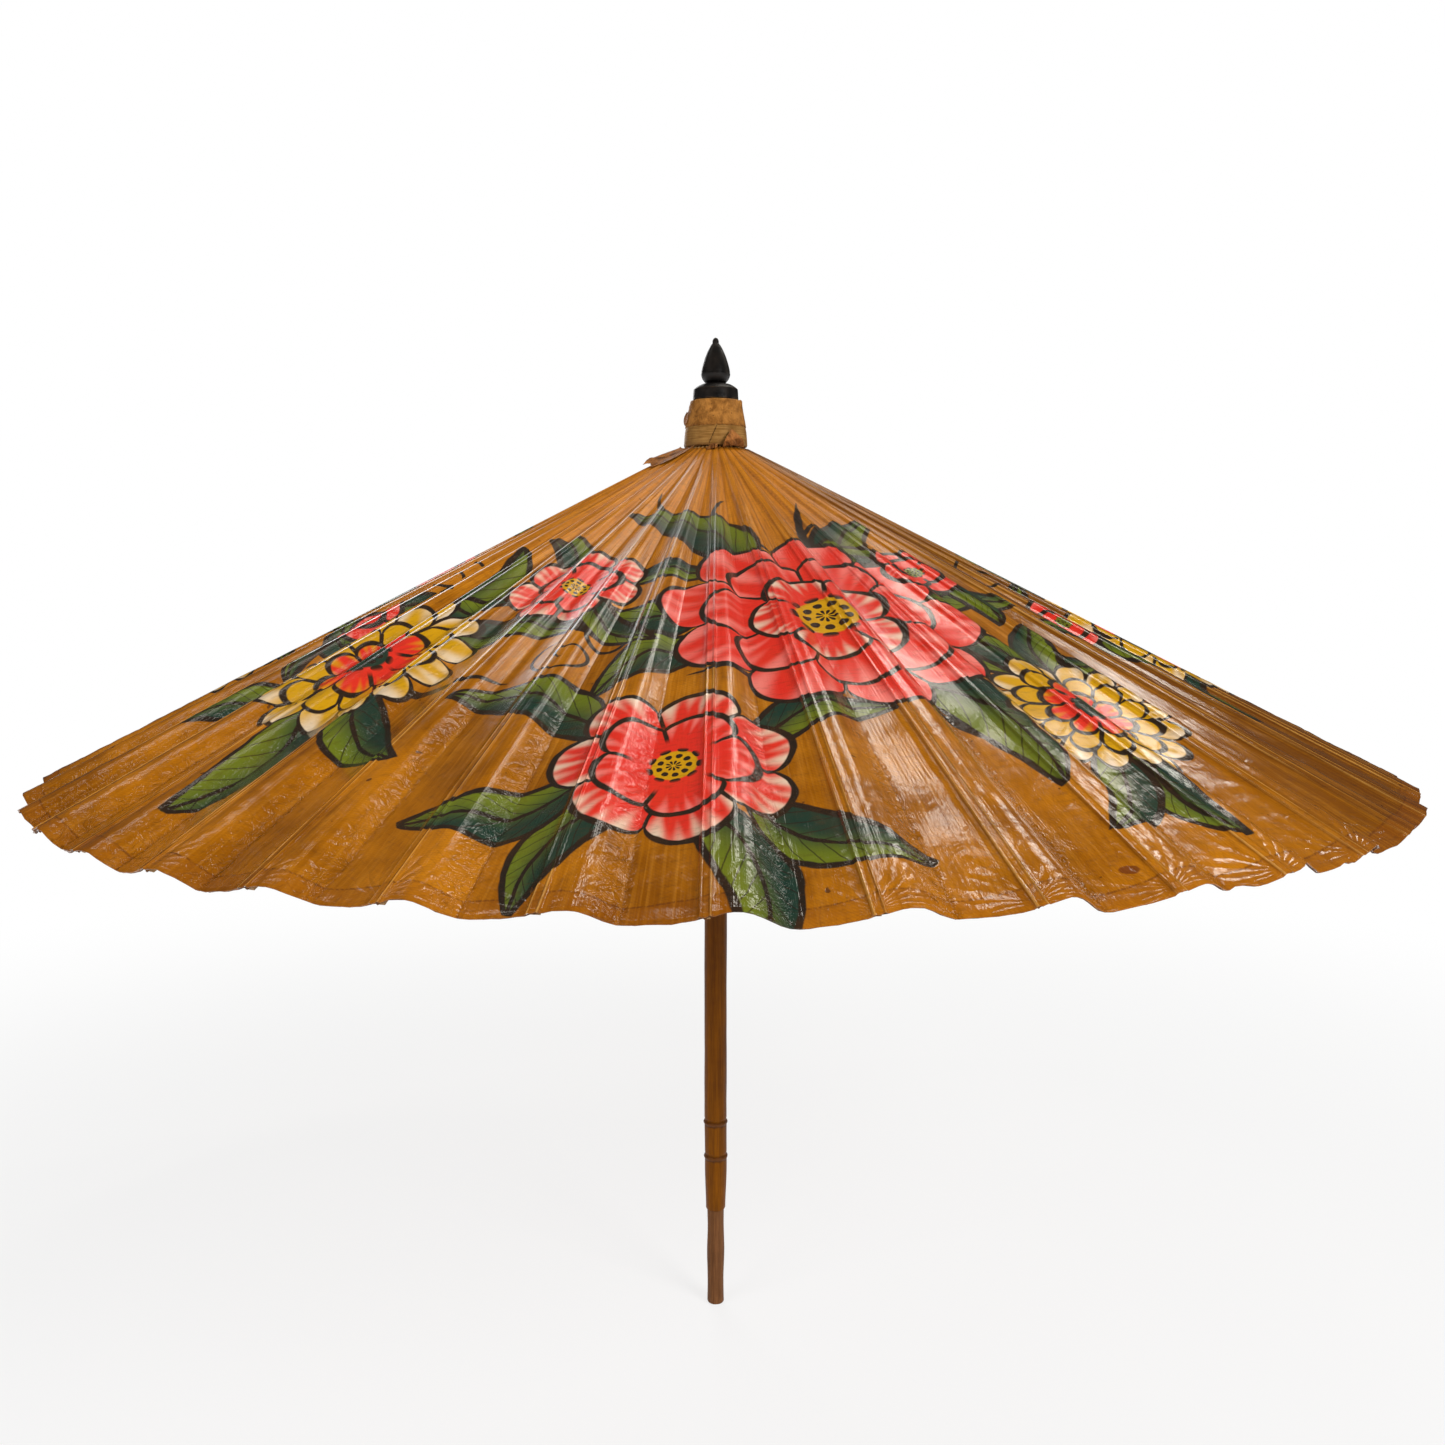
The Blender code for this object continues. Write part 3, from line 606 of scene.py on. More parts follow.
def paper_base(azimuth, distance, spread):
    """Colour of plain oiled paper: uneven amber with fibres, stains and a hem, with painted shade on the
    right side, beside the ribs and along the folds, and pale rib edges that are partly wear and partly
    painted highlight. Returns it with the patterns that the surface shares."""
    cloud = speckle(spread, 12, 5, 0.65)
    coats = Coats(mix(cloud.ramp(0.34, 0.66), rgb(132, 74, 0), rgb(184, 112, 10)))
    coats.add(distance.ramp(0.30, 0.06) * 0.7, 206, 126, 24)
    # Painted shade: the right side of the canopy, from about 36 to 130 degrees round from the front, is
    # darkened as if turned away from the light.
    side = (azimuth + (cloud - 0.5) * 0.6).ramp(0.62, 1.0) * azimuth.ramp(2.3, 1.7)
    coats.add(side * 0.9, 92, 50, 10)
    lines = speckle(vector_of(azimuth * 60, distance * 2), 5, 2, 0.55)
    coats.add(lines.ramp(0.45, 0.8) * 0.35, 204, 134, 34)
    streaks = speckle(vector_of(azimuth * 16, distance * 4), 5, 3, 0.6)
    grain = distance.ramp(0.42, 0.20) * 0.32 + 0.14
    coats.add(streaks.ramp(0.46, 0.70) * grain, 222, 150, 52)
    coats.add(streaks.ramp(0.52, 0.30) * grain, 108, 58, 4)
    hatch = laid_lines(spread)
    coats.add(hatch * 0.16, 112, 62, 14)
    fibre = speckle(placed(spread, (900, 90, 1), (0, 0, 0.6)), 1, 2, 0.6)
    coats.add(fibre.ramp(0.5, 0.75) * 0.30, 120, 66, 16)
    stain = speckle(spread, 26, 5, 0.65, 0.6)
    coats.add(stain.ramp(0.62, 0.74) * 0.45, 112, 62, 20)
    coats.add(speckle(spread, 190, 1, 0.4).ramp(0.76, 0.80) * 0.8, 70, 36, 14)
    share = (azimuth / PLEAT_ANGLE).of("FRACT")
    beside = (abs(share - 0.5) * -1.0 + 0.5) * distance * FLAT_PLEAT
    # Painted shade in the tucks just beside each rib, patchy with the stains.
    painted_rib_shade = beside.ramp(0.0009, 0.0018) * beside.ramp(0.0036, 0.0022)
    coats.add(painted_rib_shade * stain.ramp(0.3, 0.7) * 0.45, 96, 50, 16)
    # Painted shade: a thin dark line along the fold halfway between the ribs.
    fold = abs(share - 0.5) * distance * FLAT_PLEAT
    coats.add(fold.ramp(0.0010, 0.0002) * 0.3, 104, 56, 18)
    below = distance - HEM_EDGE + (stain - 0.5) * 0.003
    coats.add(below.ramp(-0.0008, 0.0008) * 0.25, 128, 66, 22)
    coats.add(abs(below).ramp(0.0008, 0.0002) * fibre.ramp(0.3, 0.6) * 0.6, 92, 46, 16)
    coats.add(brown_stain(spread, stain) * 0.75, 92, 38, 20)
    loose = share.ramp(0.26, 0.43) * share.ramp(0.55, 0.495)
    edge = abs(beside - (distance * RIB_WIDENING + RIB_NECK_WIDTH / 2))
    # Pale lines along the rib edges: partly worn paper and partly a painted highlight.
    rib_wear_and_highlight = edge.ramp(0.0007, 0.0002) * lines.ramp(0.35, 0.6) * distance.ramp(0.10, 0.22)
    coats.add(rib_wear_and_highlight * 0.45, 224, 168, 84)
    return coats.colour, cloud, fibre, stain, loose, lines, hatch, edge


def make_paper(painted):
    """Oiled paper. Its upper side has the design."""
    name = "oiled_paper" if painted else "oiled_paper_underside"
    material, shader = new_material(name, specular_ior_level=0.40)
    azimuth, distance, flat, spread = paper_fields(shader)
    colour, cloud, fibre, stain, loose, lines, hatch, edge = paper_base(azimuth, distance, spread)
    if painted:
        tremble = speckle(flat, 60, 2)
        brush = Brush(colour, *wobbled(flat), (tremble + 0.45) * INK_HALF)
        paint_design(brush)
        bristles = speckle(placed(spread, (1, 3.5, 1), (0, 0, 0.9)), 150, 3, 0.6)
        shaded = mix(bristles.ramp(0.48, 0.75) * 0.30, brush.colour, rgb(70, 44, 24))
        colour = mix(stain.ramp(0.25, 0.6) * 0.06 + 0.92, colour, shaded)
    roughness = cloud * 0.06 + fibre * 0.04 + lines * 0.12
    roughness = roughness + distance.ramp(0.26, 0.10) * 0.20 + 0.05
    rim = distance.ramp(APEX_GAP + RIM_REACH - 0.20, APEX_GAP + RIM_REACH)
    crease = speckle(spread, 75, 2, 0.45, 0.8)
    folds = abs(speckle(spread, 130, 3, 0.55, 0.8) - 0.5) * -3.0
    fine = speckle(spread, 420, 3, 0.6)
    height = crease * (rim * 0.25 + 0.12) + folds * (rim * loose * 1.0 + rim * 0.03)
    height = height + fine * 0.03 + fibre * 0.03 + lines * distance * 0.30 + hatch * 0.008
    height = height + rib_end_creases(azimuth, distance, cloud) * 13
    height = height + edge.ramp(0.0010, 0.0) * distance.ramp(0.06, 0.24) * 0.24
    surface(shader, colour, roughness, height, 0.0013)
    return material


def make_bamboo(name, light, dark, grain, roughness, shine=0.30):
    """Bamboo or wood with long fibres, uneven in colour."""
    material, shader = new_material(name, roughness, specular_ior_level=shine)
    place = coordinates(shader)
    long = placed(place, grain)
    strands = speckle(long, 1500, 3, 0.65)
    bands = speckle(long, 320, 3, 0.6)
    cloud = speckle(place, 40, 4, 0.6)
    colour = mix((strands * 0.45 + bands * 0.35 + cloud * 0.30).ramp(0.36, 0.74), dark, light)
    colour = mix(speckle(place, 150, 4, 0.7).ramp(0.60, 0.74) * 0.35, colour, dark)
    rough = strands * 0.22 + cloud * 0.16 + (roughness - 0.18)
    surface(shader, colour, rough, strands * 0.6 + bands * 0.5, 0.00025)
    return material


def make_shaft_bamboo():
    """Brown bamboo, darker and scuffed at its node rings."""
    material = make_bamboo("shaft_bamboo", rgb(138, 80, 1), rgb(90, 48, 0), (1, 1, 0.025), 0.42, 0.12)
    shader = material.node_tree.nodes["Principled BSDF"]
    base = shader.inputs["Base Color"]
    coats = Coats(base.links[0].from_socket)
    place = coordinates(shader)
    _, _, height = parts_of(place)
    uneven = (speckle(place, 420, 3) - 0.5) * 0.0035
    for level in NODE_RINGS:
        near = abs(height - level + uneven)
        coats.add(near.ramp(0.0032, 0.0008) * 0.75, 54, 30, 14)
        coats.add(near.ramp(0.0016, 0.0004) * 0.45, 132, 84, 46)
    plug(base, coats.colour)
    return material


def make_head_wood():
    """Pale turned wood with turning rings, darker in patches toward the band's foot, and one slanting crack
    in front.
    """
    material, shader = new_material("head_wood", 0.5, specular_ior_level=0.30)
    place = coordinates(shader)
    rings = speckle(placed(place, (1, 1, 26)), 60, 3, 0.6)
    cloud = speckle(place, 110, 4, 0.6)
    coats = Coats(mix((rings * 0.6 + cloud * 0.4).ramp(0.35, 0.68), rgb(118, 80, 34), rgb(170, 127, 68)))
    x, y, z = parts_of(place)
    jag = (speckle(place, 600, 3) - 0.5) * 0.0016
    crack = abs(x + CRACK_ASIDE - (z - CRACK_HEIGHT) * CRACK_LEAN + jag).ramp(0.00030, 0.00012)
    crack = crack * y.ramp(-0.010, -0.014) * z.ramp(BAND_BOTTOM + 0.0005, BAND_BOTTOM + 0.0017)
    crack = crack * z.ramp(BAND_TOP, BAND_TOP - 0.0012)
    coats.add(crack * 0.85, 58, 36, 18)
    foot = z.ramp(BAND_BOTTOM + 0.0037, BAND_BOTTOM - 0.0003) * 0.5
    coats.add(foot * cloud.ramp(0.3, 0.6), 110, 70, 34)
    surface(shader, coats.colour, cloud * 0.25 + 0.36, rings * 0.5 + crack * -2.0, 0.0004)
    return material


def make_wrap_paper(name, light, dark):
    """Old brown paper, fibrous and stained."""
    material, shader = new_material(name, 0.7, specular_ior_level=0.3)
    place = coordinates(shader)
    cloud = speckle(place, 160, 5, 0.65, 0.6)
    fibre = speckle(placed(place, (1, 1, 0.3)), 1400, 3, 0.6)
    coats = Coats(mix((cloud * 0.75 + fibre * 0.25).ramp(0.34, 0.66), dark, light))
    coats.add(speckle(place, 520, 3, 0.5).ramp(0.66, 0.72) * 0.8, 70, 38, 18)
    surface(shader, coats.colour, cloud * 0.4 + 0.40, cloud * 0.8 + fibre * 0.4, 0.0007)
    return material


def make_lacquer():
    """Black lacquer on turned wood, dulled and rubbed brown on its edges."""
    material, shader = new_material("black_lacquer", 0.40, specular_ior_level=0.40)
    place = coordinates(shader)
    cloud = speckle(place, 180, 5, 0.65)
    rings = speckle(placed(place, (0.4, 0.4, 8)), 260, 2)
    edge = cloud.nodes.new("ShaderNodeNewGeometry").outputs["Pointiness"]
    rubbed = Field(edge).ramp(0.52, 0.60) * cloud.ramp(0.40, 0.62)
    coats = Coats(mix(cloud.ramp(0.35, 0.75), rgb(13, 11, 10), rgb(32, 27, 23)))
    coats.add(rubbed * 0.55, 104, 78, 54)
    rough = cloud * 0.30 + rings * 0.10 + 0.22
    surface(shader, coats.colour, rough, rings * 0.5 + cloud * 0.3, 0.00025)
    return material


def make_thread():
    """Twisted thread."""
    material, shader = new_material("thread", specular_ior_level=0.25)
    twist = speckle(placed(coordinates(shader), (1, 1, 0.35), (0.5, 0.4, 0)), 2600, 2)
    colour = mix(twist.ramp(0.35, 0.65), rgb(92, 56, 26), rgb(150, 100, 52))
    surface(shader, colour, 0.8, twist, 0.0003)
    return material


def new_piece(name, bm, material, smooth_angle=40):
    """An object of a mesh, in the frame's own coordinates."""
    mesh = bpy.data.meshes.new(name)
    bm.to_mesh(mesh)
    bm.free()
    for each in material if isinstance(material, (list, tuple)) else [material]:
        mesh.materials.append(each)
    mesh.shade_smooth()
    mesh.set_sharp_from_angle(angle=radians(smooth_angle))
    obj = bpy.data.objects.new(name, mesh)
    bpy.context.scene.collection.objects.link(obj)
    return obj


def tag(number):
    return f"{number + 1:02d}"


def panel_azimuth(number):
    return FRONT + number * PLEATS_PER_PANEL * PLEAT_ANGLE


def around(turn, radius, height):
    """A point at a turn round the shaft."""
    return Vector((radius * cos(turn), radius * sin(turn), height))


def fold_on(obj, kind, number):
    """Lets a piece ride on a panel's rib or stretcher."""
    turn = panel_azimuth(number)
    anchor = (HINGE_RADIUS * cos(turn), HINGE_RADIUS * sin(turn), HINGE.z)
    if number == 0:
        anchor = JOINTS[FOLD]["pos_m"]
    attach(obj, f"{kind}_{tag(number)}")
    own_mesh(obj)


def add_quads(bm, grid):
    """Fills a grid of vertices with faces."""
    pairs = zip(grid, grid[1:])
    return [bm.faces.new((a[i], b[i], b[i + 1], a[i + 1])) for a, b in pairs for i in range(len(a) - 1)]


def thicken(obj, thickness, offset):
    shell = obj.modifiers.new("thickness", "SOLIDIFY")
    shell.thickness = thickness
    shell.offset = offset
    return shell


def cone_radius(along):
    return HINGE_RADIUS + along * cos(SLOPE)


def on_cone(turn, along, lift):
    """A point above a rib's middle line, at a distance along it from the hinge."""
    radius = cone_radius(along) + lift * sin(SLOPE)
    height = HINGE.z - along * sin(SLOPE) + lift * cos(SLOPE)
    return around(turn, radius, height)


def soft_step(low, high, value):
    share = min(1, max(0, (value - low) / (high - low)))
    return share * share * (3 - 2 * share)


def pleat_habit(pleat):
    """How far one pleat sags and arches, as shares of the usual."""
    own = random.Random(pleat % PLEATS)
    return 1 + own.uniform(-PLEAT_SPREAD, PLEAT_SPREAD), 1 + own.uniform(-PLEAT_SPREAD, PLEAT_SPREAD)


HABITS = [pleat_habit(pleat) for pleat in range(PLEATS)]


def pleat_height(position):
    """The paper's height over the ribs at the rim, at a position counted in pleats. After a rib it arches
    up, then drops to the fold halfway, and then it rises ever faster to the next rib."""
    pleat = int(position // 1)
    share = position - pleat
    sag, arch = HABITS[pleat % PLEATS]
    if share < 0.5:
        way = 2 * share
        drop = soft_step(FALL_START, FALL_END, way) / soft_step(FALL_START, FALL_END, 1)
        return arch * PLEAT_ARCH * sin(pi * way) * (1 - way) - sag * PLEAT_SAG * drop
    rise = min(1, (2 * share - 1) / RISE_END)
    return -sag * PLEAT_SAG * (1 - rise**RISE_POWER)


def rib_width(along):
    return RIB_NECK_WIDTH + (RIB_TIP_WIDTH - RIB_NECK_WIDTH) * min(1, along / RIB_LENGTH)


def rim_reach(position):
    """How far the paper runs down the slope: scalloped, uneven and torn in places."""
    share = abs(position - round(position)) * 2
    reach = RIM_REACH - RIM_SCALLOP * share**1.5
    place = around(position * PLEAT_ANGLE, 1, 0) * PLEATS
    reach += RIM_SWAY * noise.noise(place * 0.6) + RIM_FRAY * noise.noise(place * 3.3)
    for tear, half, depth in RIM_TEARS:
        away = abs((position - tear + PLEATS / 2) % PLEATS - PLEATS / 2)
        reach -= depth * max(0, 1 - away / half)
    return reach


def row_columns(along):
    """Positions across one pleat from its rib, in pleats: closer at the rib's edges and at the fold."""
    pitch = PLEAT_ANGLE * cone_radius(along)
    edge = min(rib_width(along) / 2 / pitch, 0.28)
    tuck = min(edge + TUCK_WIDTH / pitch, 0.36)
    crease = 0.5 - min(CREASE_HALF / pitch, 0.05)
    half = [0, edge, (edge + tuck) / 2, tuck]
    half += [tuck + (crease - tuck) * i / SIDE_COLUMNS for i in range(1, SIDE_COLUMNS + 1)]
    half.append(0.5)
    return [-p for p in reversed(half)] + half[1:]


def paper_rows():
    """Shares of the way from the head to the rim, closer near the rim and at the hem's edge."""
    reach = RIM_REACH - PAPER_START
    rows = [i / UPPER_ROWS * (1 - RIM_ZONE / reach) for i in range(UPPER_ROWS)]
    near = [RIM_ZONE - i * RIM_ROW for i in range(int(RIM_ZONE / RIM_ROW))]
    near = [d for d in near if abs(d - HEM_WIDTH) > RIM_ROW / 2 and d > RIM_ROW / 2]
    near += [HEM_WIDTH + HEM_SOFT, HEM_WIDTH - HEM_SOFT, 0]
    return rows + [1 - d / reach for d in sorted(near, reverse=True)]


def paper_lift(position, along, from_rim):
    """The paper's height over the ribs' middle lines."""
    share = along / RIM_REACH
    aside = abs(position - round(position)) * PLEAT_ANGLE * cone_radius(along)
    edge = rib_width(along) / 2
    lift = PAPER_LIFT + share**RELIEF * pleat_height(position)
    lift -= min(1, share * 6) * TUCK_DEPTH * soft_step(edge, edge + TUCK_WIDTH, aside)
    place = around(position * PLEAT_ANGLE, 1, 0) * cone_radius(along) * 1000
    loose = soft_step(0.30, 1.0, share) * soft_step(edge, edge + 0.006, aside)
    lift += CRINKLE * loose * noise.fractal(place * 0.055, 0.9, 2.1, 3)
    lift += 0.5 * CRINKLE * loose * noise.noise(place * 0.30)
    return lift + HEM_STEP * soft_step(HEM_WIDTH + HEM_SOFT, HEM_WIDTH - HEM_SOFT, from_rim)


def make_canopy_paper(materials):
    for number in range(PANELS):
        bm = bmesh.new()
        layer = bm.loops.layers.uv.new("paper")
        grid, spots = [], {}
        for row in paper_rows():
            line = []
            across = row_columns(PAPER_START + row * (RIM_REACH - PAPER_START))
            for step in [p + j for j in (-1, 0, 1) for p in across[1 if j > -1 else 0 :]]:
                position = number * PLEATS_PER_PANEL + step
                end = rim_reach(position)
                along = PAPER_START + row * (end - PAPER_START)
                lift = paper_lift(position, along, end - along)
                vert = bm.verts.new(on_cone(FRONT + position * PLEAT_ANGLE, along, lift))
                spots[vert] = (position * PLEAT_ANGLE, along + APEX_GAP)
                line.append(vert)
            grid.append(line)
        for face in add_quads(bm, grid):
            for loop in face.loops:
                loop[layer].uv = spots[loop.vert]
        obj = new_piece(f"paper_{tag(number)}", bm, [materials["paper"], materials["underside"]], 50)
        width = len(grid[0])
        folds = {j * (width - 1) // PLEATS_PER_PANEL for j in range(PLEATS_PER_PANEL + 1)}
        for edge in obj.data.edges:
            first, second = edge.vertices
            if abs(first - second) == width and first % width in folds:
                edge.use_edge_sharp = True
        thicken(obj, PAPER_THICKNESS, -1).material_offset = 1
        fold_on(obj, "rib", number)
        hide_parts(f"canopy_panel_{tag(number)}")


def declare_papers(bits):
    """Goes through each panel's paper and its torn pieces, and sets nothing on them.
    bits has torn pieces by their panel's number."""
    for number in range(PANELS):
        paper = bpy.data.objects[f"paper_{tag(number)}"]
        torn = bits.get(number, [])
        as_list(torn)


def copied_strips(name, node, number, material):
    """The two strips beside a panel's own one, as turned copies of the first panel's solid."""
    bm = bmesh.new()
    for side in (-1, 1):
        mesh = NODES[node].data.copy()
        mesh.transform(Matrix.Rotation((number * PLEATS_PER_PANEL + side) * PLEAT_ANGLE, 4, "Z"))
        bm.from_mesh(mesh)
        bpy.data.meshes.remove(mesh)
    bmesh.ops.remove_doubles(bm, verts=bm.verts, dist=MERGE_DISTANCE)
    obj = new_piece(f"{name}_{tag(number)}", bm, material, 20)
    return obj


def make_side_strips(materials):
    for number in range(PANELS):
        for kind in ("rib", "stretcher"):
            strips = copied_strips(f"side_{kind}s", f"{kind}_01", number, materials["strip"])
            fold_on(strips, kind, number)


def turned(profile, sides=96, closed=True):
    """Turns (radius, height) points about the shaft. A closed profile makes a ring."""
    bm = bmesh.new()
    points = [bm.verts.new((radius, 0, height)) for radius, height in profile]
    edges = [bm.edges.new(pair) for pair in zip(points, points[1:])]
    if closed:
        edges.append(bm.edges.new((points[-1], points[0])))
    turn = {"cent": (0, 0, 0), "axis": (0, 0, 1), "angle": 2 * pi, "steps": sides, "use_merge": True}
    bmesh.ops.spin(bm, geom=points + edges, **turn)
    bmesh.ops.remove_doubles(bm, verts=bm.verts, dist=MERGE_DISTANCE)
    bmesh.ops.recalc_face_normals(bm, faces=bm.faces)
    return bm


def roughened(bm, depth, scale, stretch, above):
    """Moves a turned piece's outside in and out a little, as hand work is, beyond a radius."""
    for vert in bm.verts:
        radius = hypot(vert.co.x, vert.co.y)
        if radius > above:
            place = Vector((vert.co.x, vert.co.y, vert.co.z * stretch)) * scale
            share = 1 + depth * noise.fractal(place, 0.8, 2.0, 3) / radius
            vert.co.x *= share
            vert.co.y *= share


def stand_for(obj, node, body):
    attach(obj, body)
    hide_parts(node)


def curve_through(points, steps):
    """A smooth line through points, with a number of steps between each two."""
    ends = [points[0], *points, points[-1]]
    line = []
    for a, b, c, d in zip(ends, ends[1:], ends[2:], ends[3:]):
        for i in range(steps):
            t = i / steps
            weights = (
                -t / 2 + t * t - t**3 / 2,
                1 - 2.5 * t * t + 1.5 * t**3,
                t / 2 + 2 * t * t - 1.5 * t**3,
                (t**3 - t * t) / 2,
            )
            line.append(tuple(sum(w * p[k] for w, p in zip(weights, (a, b, c, d))) for k in range(2)))
    return [*line, points[-1]]


def make_finial(materials):
    """Teardrop knob with a turned line at its widest and a bead on its tip, on a peg."""
    foot = COLLAR_TOP + 0.0003
    side = [
        (0.0064, 0.0),
        (0.0076, 0.0010),
        (0.0089, 0.0030),
        (0.0095, 0.0050),
        (0.0095, 0.0062),
        (0.0088, 0.0100),
        (0.0073, 0.0150),
        (0.0061, 0.0182),
        (0.0047, 0.0212),
        (0.0032, 0.0238),
        (0.0020, 0.0253),
    ]
    knob = [(radius, foot + rise) for radius, rise in curve_through(side, 4)]
    groove = foot + 0.0064
    knob = [(r - 0.00018 if abs(z - groove) < 0.00035 else r, z) for r, z in knob]
    neck = foot + 0.0253
    bead = [(0.0021, 0.0004), (0.0021, 0.0011), (0.0018, 0.0022), (0.0011, 0.0031), (0.0004, 0.0035)]
    knob += [(radius, neck + rise) for radius, rise in curve_through(bead, 3)]
    peg = [(0, foot - PEG_LENGTH), (PEG_RADIUS, foot - PEG_LENGTH), (PEG_RADIUS, foot)]
    bm = turned([*peg, *knob, (0, neck + 0.0036)], 64, False)
    stand_for(new_piece("finial_knob", bm, materials["lacquer"]), "finial", "pole")


def make_collar(materials):
    """Disc with a sloping top."""
    slope = [
        (0.0150, 0.0002),
        (0.0146, 0.0064),
        (0.0143, 0.0070),
        (0.0132, 0.0081),
        (0.0104, 0.0098),
        (0.0072, 0.0107),
    ]
    rim = [(0.0146, 0.0), *curve_through(slope, 4), (COLLAR_BORE, 0.0109), (COLLAR_BORE, 0.0)]
    bm = turned([(radius, COLLAR_BOTTOM + rise) for radius, rise in rim], 96)
    stand_for(new_piece("collar_disc", bm, materials["lacquer"], 30), "finial_collar", "pole")


def make_turned_head(materials):
    """Head with a bare band, whose teeth leave a slot for each rib and a groove for the thread."""
    foot = BAND_BOTTOM - 0.0135
    core = 0.0133
    teeth = 0.0186
    groove = 0.01465
    slot_top = HINGE.z + 0.0022
    groove_foot = HINGE.z - 0.00085
    profile = [
        (HUB_BORE, foot),
        (core, foot),
        (core, slot_top),
        (0.0189, slot_top),
        (0.0189, BAND_BOTTOM),
        (0.0198, BAND_BOTTOM),
        (0.0206, BAND_BOTTOM + 0.0005),
        (0.0209, BAND_BOTTOM + 0.0014),
        (0.02075, BAND_BOTTOM + 0.0045),
        (0.0203, BAND_BOTTOM + 0.0095),
        (0.0196, BAND_TOP),
        (0.0188, BAND_TOP + 0.0002),
        (0.0156, HUB_TOP),
        (SHAFT_BORE, HUB_TOP),
        (SHAFT_BORE, SHAFT_TOP + 0.0003),
        (HUB_BORE, SHAFT_TOP + 0.0003),
    ]
    bm = turned(profile, 126)
    tooth = [(core - 0.0002, foot), (teeth, foot), (teeth, groove_foot), (groove, groove_foot)]
    tooth += [(groove, slot_top), (core - 0.0002, slot_top)]
    half = PLEAT_ANGLE / 2 - 0.0008 / HINGE_RADIUS
    for pleat in range(PLEATS):
        middle = FRONT + (pleat + 0.5) * PLEAT_ANGLE
        left, right = [
            [bm.verts.new(around(turn, *spot)) for spot in tooth] for turn in (middle - half, middle + half)
        ]
        bm.faces.new(reversed(left))
        bm.faces.new(right)
        add_quads(bm, list(zip([*left, left[0]], [*right, right[0]])))
    bmesh.ops.recalc_face_normals(bm, faces=bm.faces)
    stand_for(new_piece("turned_head", bm, materials["head"], 30), "head_hub", "pole")


def strip_of(name, spots, material, thickness):
    """A thin sheet from a grid of points, with the size and the area that it had when flat."""
    bm = bmesh.new()
    add_quads(bm, [[bm.verts.new(spot) for spot in line] for line in spots])
    if (spots[0][0] - spots[0][-1]).length < MERGE_DISTANCE:
        bmesh.ops.remove_doubles(bm, verts=bm.verts, dist=MERGE_DISTANCE)
    area = sum(face.calc_area() for face in bm.faces)
    flat = [
        max(sum((b - a).length for a, b in zip(line, line[1:])) for line in lines)
        for lines in (spots, zip(*spots))
    ]
    obj = new_piece(name, bm, material, 60)
    thicken(obj, thickness, 0)
    return obj, tuple(flat), area


def ragged(seed, place, size):
    return size * noise.fractal(Vector((place, seed, 0.7)), 0.7, 2.2, 4)


def wrap_radius(height):
    """Radius of the paper round the head, which flares toward the bare band."""
    fall = (HUB_TOP - height) / (HUB_TOP - BAND_TOP)
    return WRAP_RADIUS + WRAP_FLARE * fall - WRAP_ROUNDING * fall * fall


def make_wrap(materials, bits):
    """What is left of the paper round the head: torn at both edges, lumpy, and loose in places."""
    columns, rows = 144, 16
    spots = []
    for row in range(rows + 1):
        share = row / rows
        line = []
        for column in range(columns + 1):
            turn = FRONT + 2 * pi * column / columns
            place = around(turn, 3.2, 0)
            foot = BAND_TOP - 0.0003 + WRAP_TORN_FOOT * noise.fractal(place * 4, 0.7, 2.1, 3)
            torn = noise.fractal(place * 3 + Vector((5, 0, 0)), 0.7, 2.1, 3)
            top = HUB_TOP - 0.0002 + WRAP_TORN_TOP * min(0, torn)
            height = top + share * (foot - top)
            radius = wrap_radius(height)
            radius += WRAP_LUMPS * noise.fractal(place * 2 + Vector((0, 0, height * 320)), 0.8, 2.1, 3)
            radius += WRAP_LOOSE * max(0, cos(turn - LOOSE_TURN)) ** 24 * (1 - share) ** 3
            line.append(around(turn, radius, height))
        spots.append(line)
    obj, flat, area = strip_of("wrap_sleeve", spots, materials["wrap"], WRAP_THICKNESS)
    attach(obj, "pole")
    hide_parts("head_wrap")


def make_flap(name, materials, number, place, columns=18, rows=12):
    """A torn flap on a panel, or on the head where the number is None. place(u, v) gives its points, from
    -1 to 1 across and from 0 to 1 along."""
    across = [2 * column / columns - 1 for column in range(columns + 1)]
    spots = [[place(u, row / rows) for u in across] for row in range(rows + 1)]
    obj, flat, area = strip_of(name, spots, materials["flap"], FLAP_THICKNESS)
    if number is None:
        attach(obj, "pole")
        return obj
    fold_on(obj, "rib", number)
    min(flat) > SMALLEST_SHEET
    return obj


